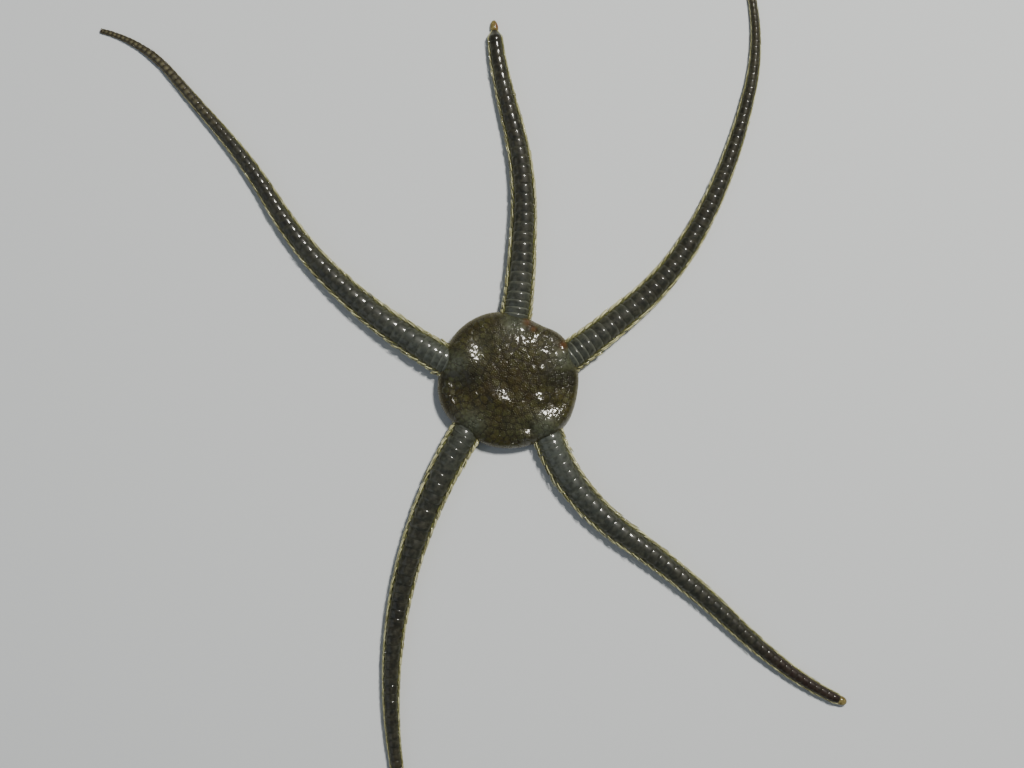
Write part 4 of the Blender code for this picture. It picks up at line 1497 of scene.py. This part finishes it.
scale_finish = wet_finish("wet_olive_scales", "#2a270c", disc_layers("#43411b", "#201809"),
                          0.45, 1.0, 0.42, 0.030)
grain_finish = wet_finish("wet_olive_grains", "#2d2a0e", disc_layers("#46441f", "#241c0b"),
                          0.45, 1.0, 0.30, 0.014)
skin_finish = wet_finish("wet_dark_groove_skin", "#1a1810", disc_layers("#2a2617", "#1b140a"),
                         0.45, 0.9, 0.20, 0.010)

# %% [markdown]
# Finishes of the mouth
#
# Jaws, papillae and oral shields are bare chalk, ivory and browner towards each piece's border and
# underside; the slits are painted near black, as painted shade for the dark inside of their openings.

# %% Mouth finishes
jaw_finish = wet_finish("wet_ivory_chalk", "#9c9070", (
    ("#c2b896", 0.9, 0.9, 0.0),
    ("#5a4c2e", "bead", -0.9, 0.8),
    ("#7a6c49", 0.35, 0.4, -0.05),
), 0.45, 0.8, 0.18, 0.012)
# Painted shade: the near-black inside of the slits.
slit_shade_finish = wet_finish("painted_shade_of_slit_openings", "#0f0d08", (
    ("#1a1610", 0.4, 0.8, 0.0),
), 0.5, 0.8, 0.2, 0.006)

# %% [markdown]
# Dressing the pieces
#
# Every piece gets its finish and rides on the one body of the still model. The skin stands for the
# solids of the disc and the arms, and each fine jaw for its plain one.

# %% Finishes and bodies
def dress(pieces, finish):
    """Give pieces a finish, and let them ride on the body."""
    for piece in pieces:
        piece.data.materials.clear()
        piece.data.materials.append(finish)
        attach(piece, "root")
    print(f"{len(pieces)} pieces in {finish.name}")


dress([skin], skin_finish)
dress([disc_scales, shields], scale_finish)
dress([back_grains, under_grains], grain_finish)
dress(backs, back_finish)
dress(sides, side_finish)
dress(spines, spine_finish)
dress(bellies + feet + [ridge_plates, flank_plates, ridge_feet], belly_finish)
dress([end for arm, end in zip(arms, ends) if arm.name in HEALED], healed_finish)
dress([end for arm, end in zip(arms, ends) if arm.name not in HEALED], back_finish)
dress(jaws + [papillae, oral_shields, adoral_plates, lips], jaw_finish)
dress([slits], slit_shade_finish)
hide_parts("disc", *[node for arm in arms for node in arm.nodes])
for index, piece in enumerate(jaws):
    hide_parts(f"jaw_{index + 1}")

# %% [markdown]
# Floor and light
#
# A plain pale floor and studio light, as on a copy stand: one lamp over the upper right, which puts
# one glint on every ring of the arms and throws the soft shadows to the lower left, and a large dim
# one from the left that keeps the shadows open. The room itself is dim, because a bright one would
# lay a grey veil over everything wet.

# %% Floor and lamps
FLOOR_SIZE = 0.6


def add_lamp(name, azimuth, height, far, size, power, tint):
    """A square lamp in a direction from the animal's middle, turned towards it."""
    data = bpy.data.lights.new(name, "AREA")
    data.size, data.energy, data.color = size, power, linear(tint)[:3]
    lamp = bpy.data.objects.new(name, data)
    flat, turn = math.cos(math.radians(height)), math.radians(azimuth)
    way = np.array((flat * math.cos(turn), flat * math.sin(turn), math.sin(math.radians(height))))
    lamp.location = way * far
    lamp.rotation_euler = (0.0, math.radians(90 - height), turn)
    bpy.context.scene.collection.objects.link(lamp)


# Name, azimuth and height in degrees, distance and size in m, power in W, and tint
add_lamp("lamp_upper_right", *LAMP_WAY, 0.55, 0.075, 3.6, "#fffaf0")
add_lamp("lamp_left_fill", 200, 40, 0.6, 0.45, 0.42, "#eef4ff")

world = bpy.data.worlds.new("dim_room")
world.use_nodes = True
world.node_tree.nodes["Background"].inputs["Color"].default_value = linear("#dfe6ee")
world.node_tree.nodes["Background"].inputs["Strength"].default_value = 0.16
bpy.context.scene.world = world

bpy.ops.mesh.primitive_plane_add(size=FLOOR_SIZE)
floor = bpy.context.object
floor.name = "floor"
paper = bpy.data.materials.new("matt_pale_paper")
paper.use_nodes = True
paper.node_tree.nodes["Principled BSDF"].inputs["Base Color"].default_value = linear("#d5dade")
paper.node_tree.nodes["Principled BSDF"].inputs["Roughness"].default_value = 0.9
floor.data.materials.append(paper)
print("lamps:", [lamp.name for lamp in bpy.data.lights])
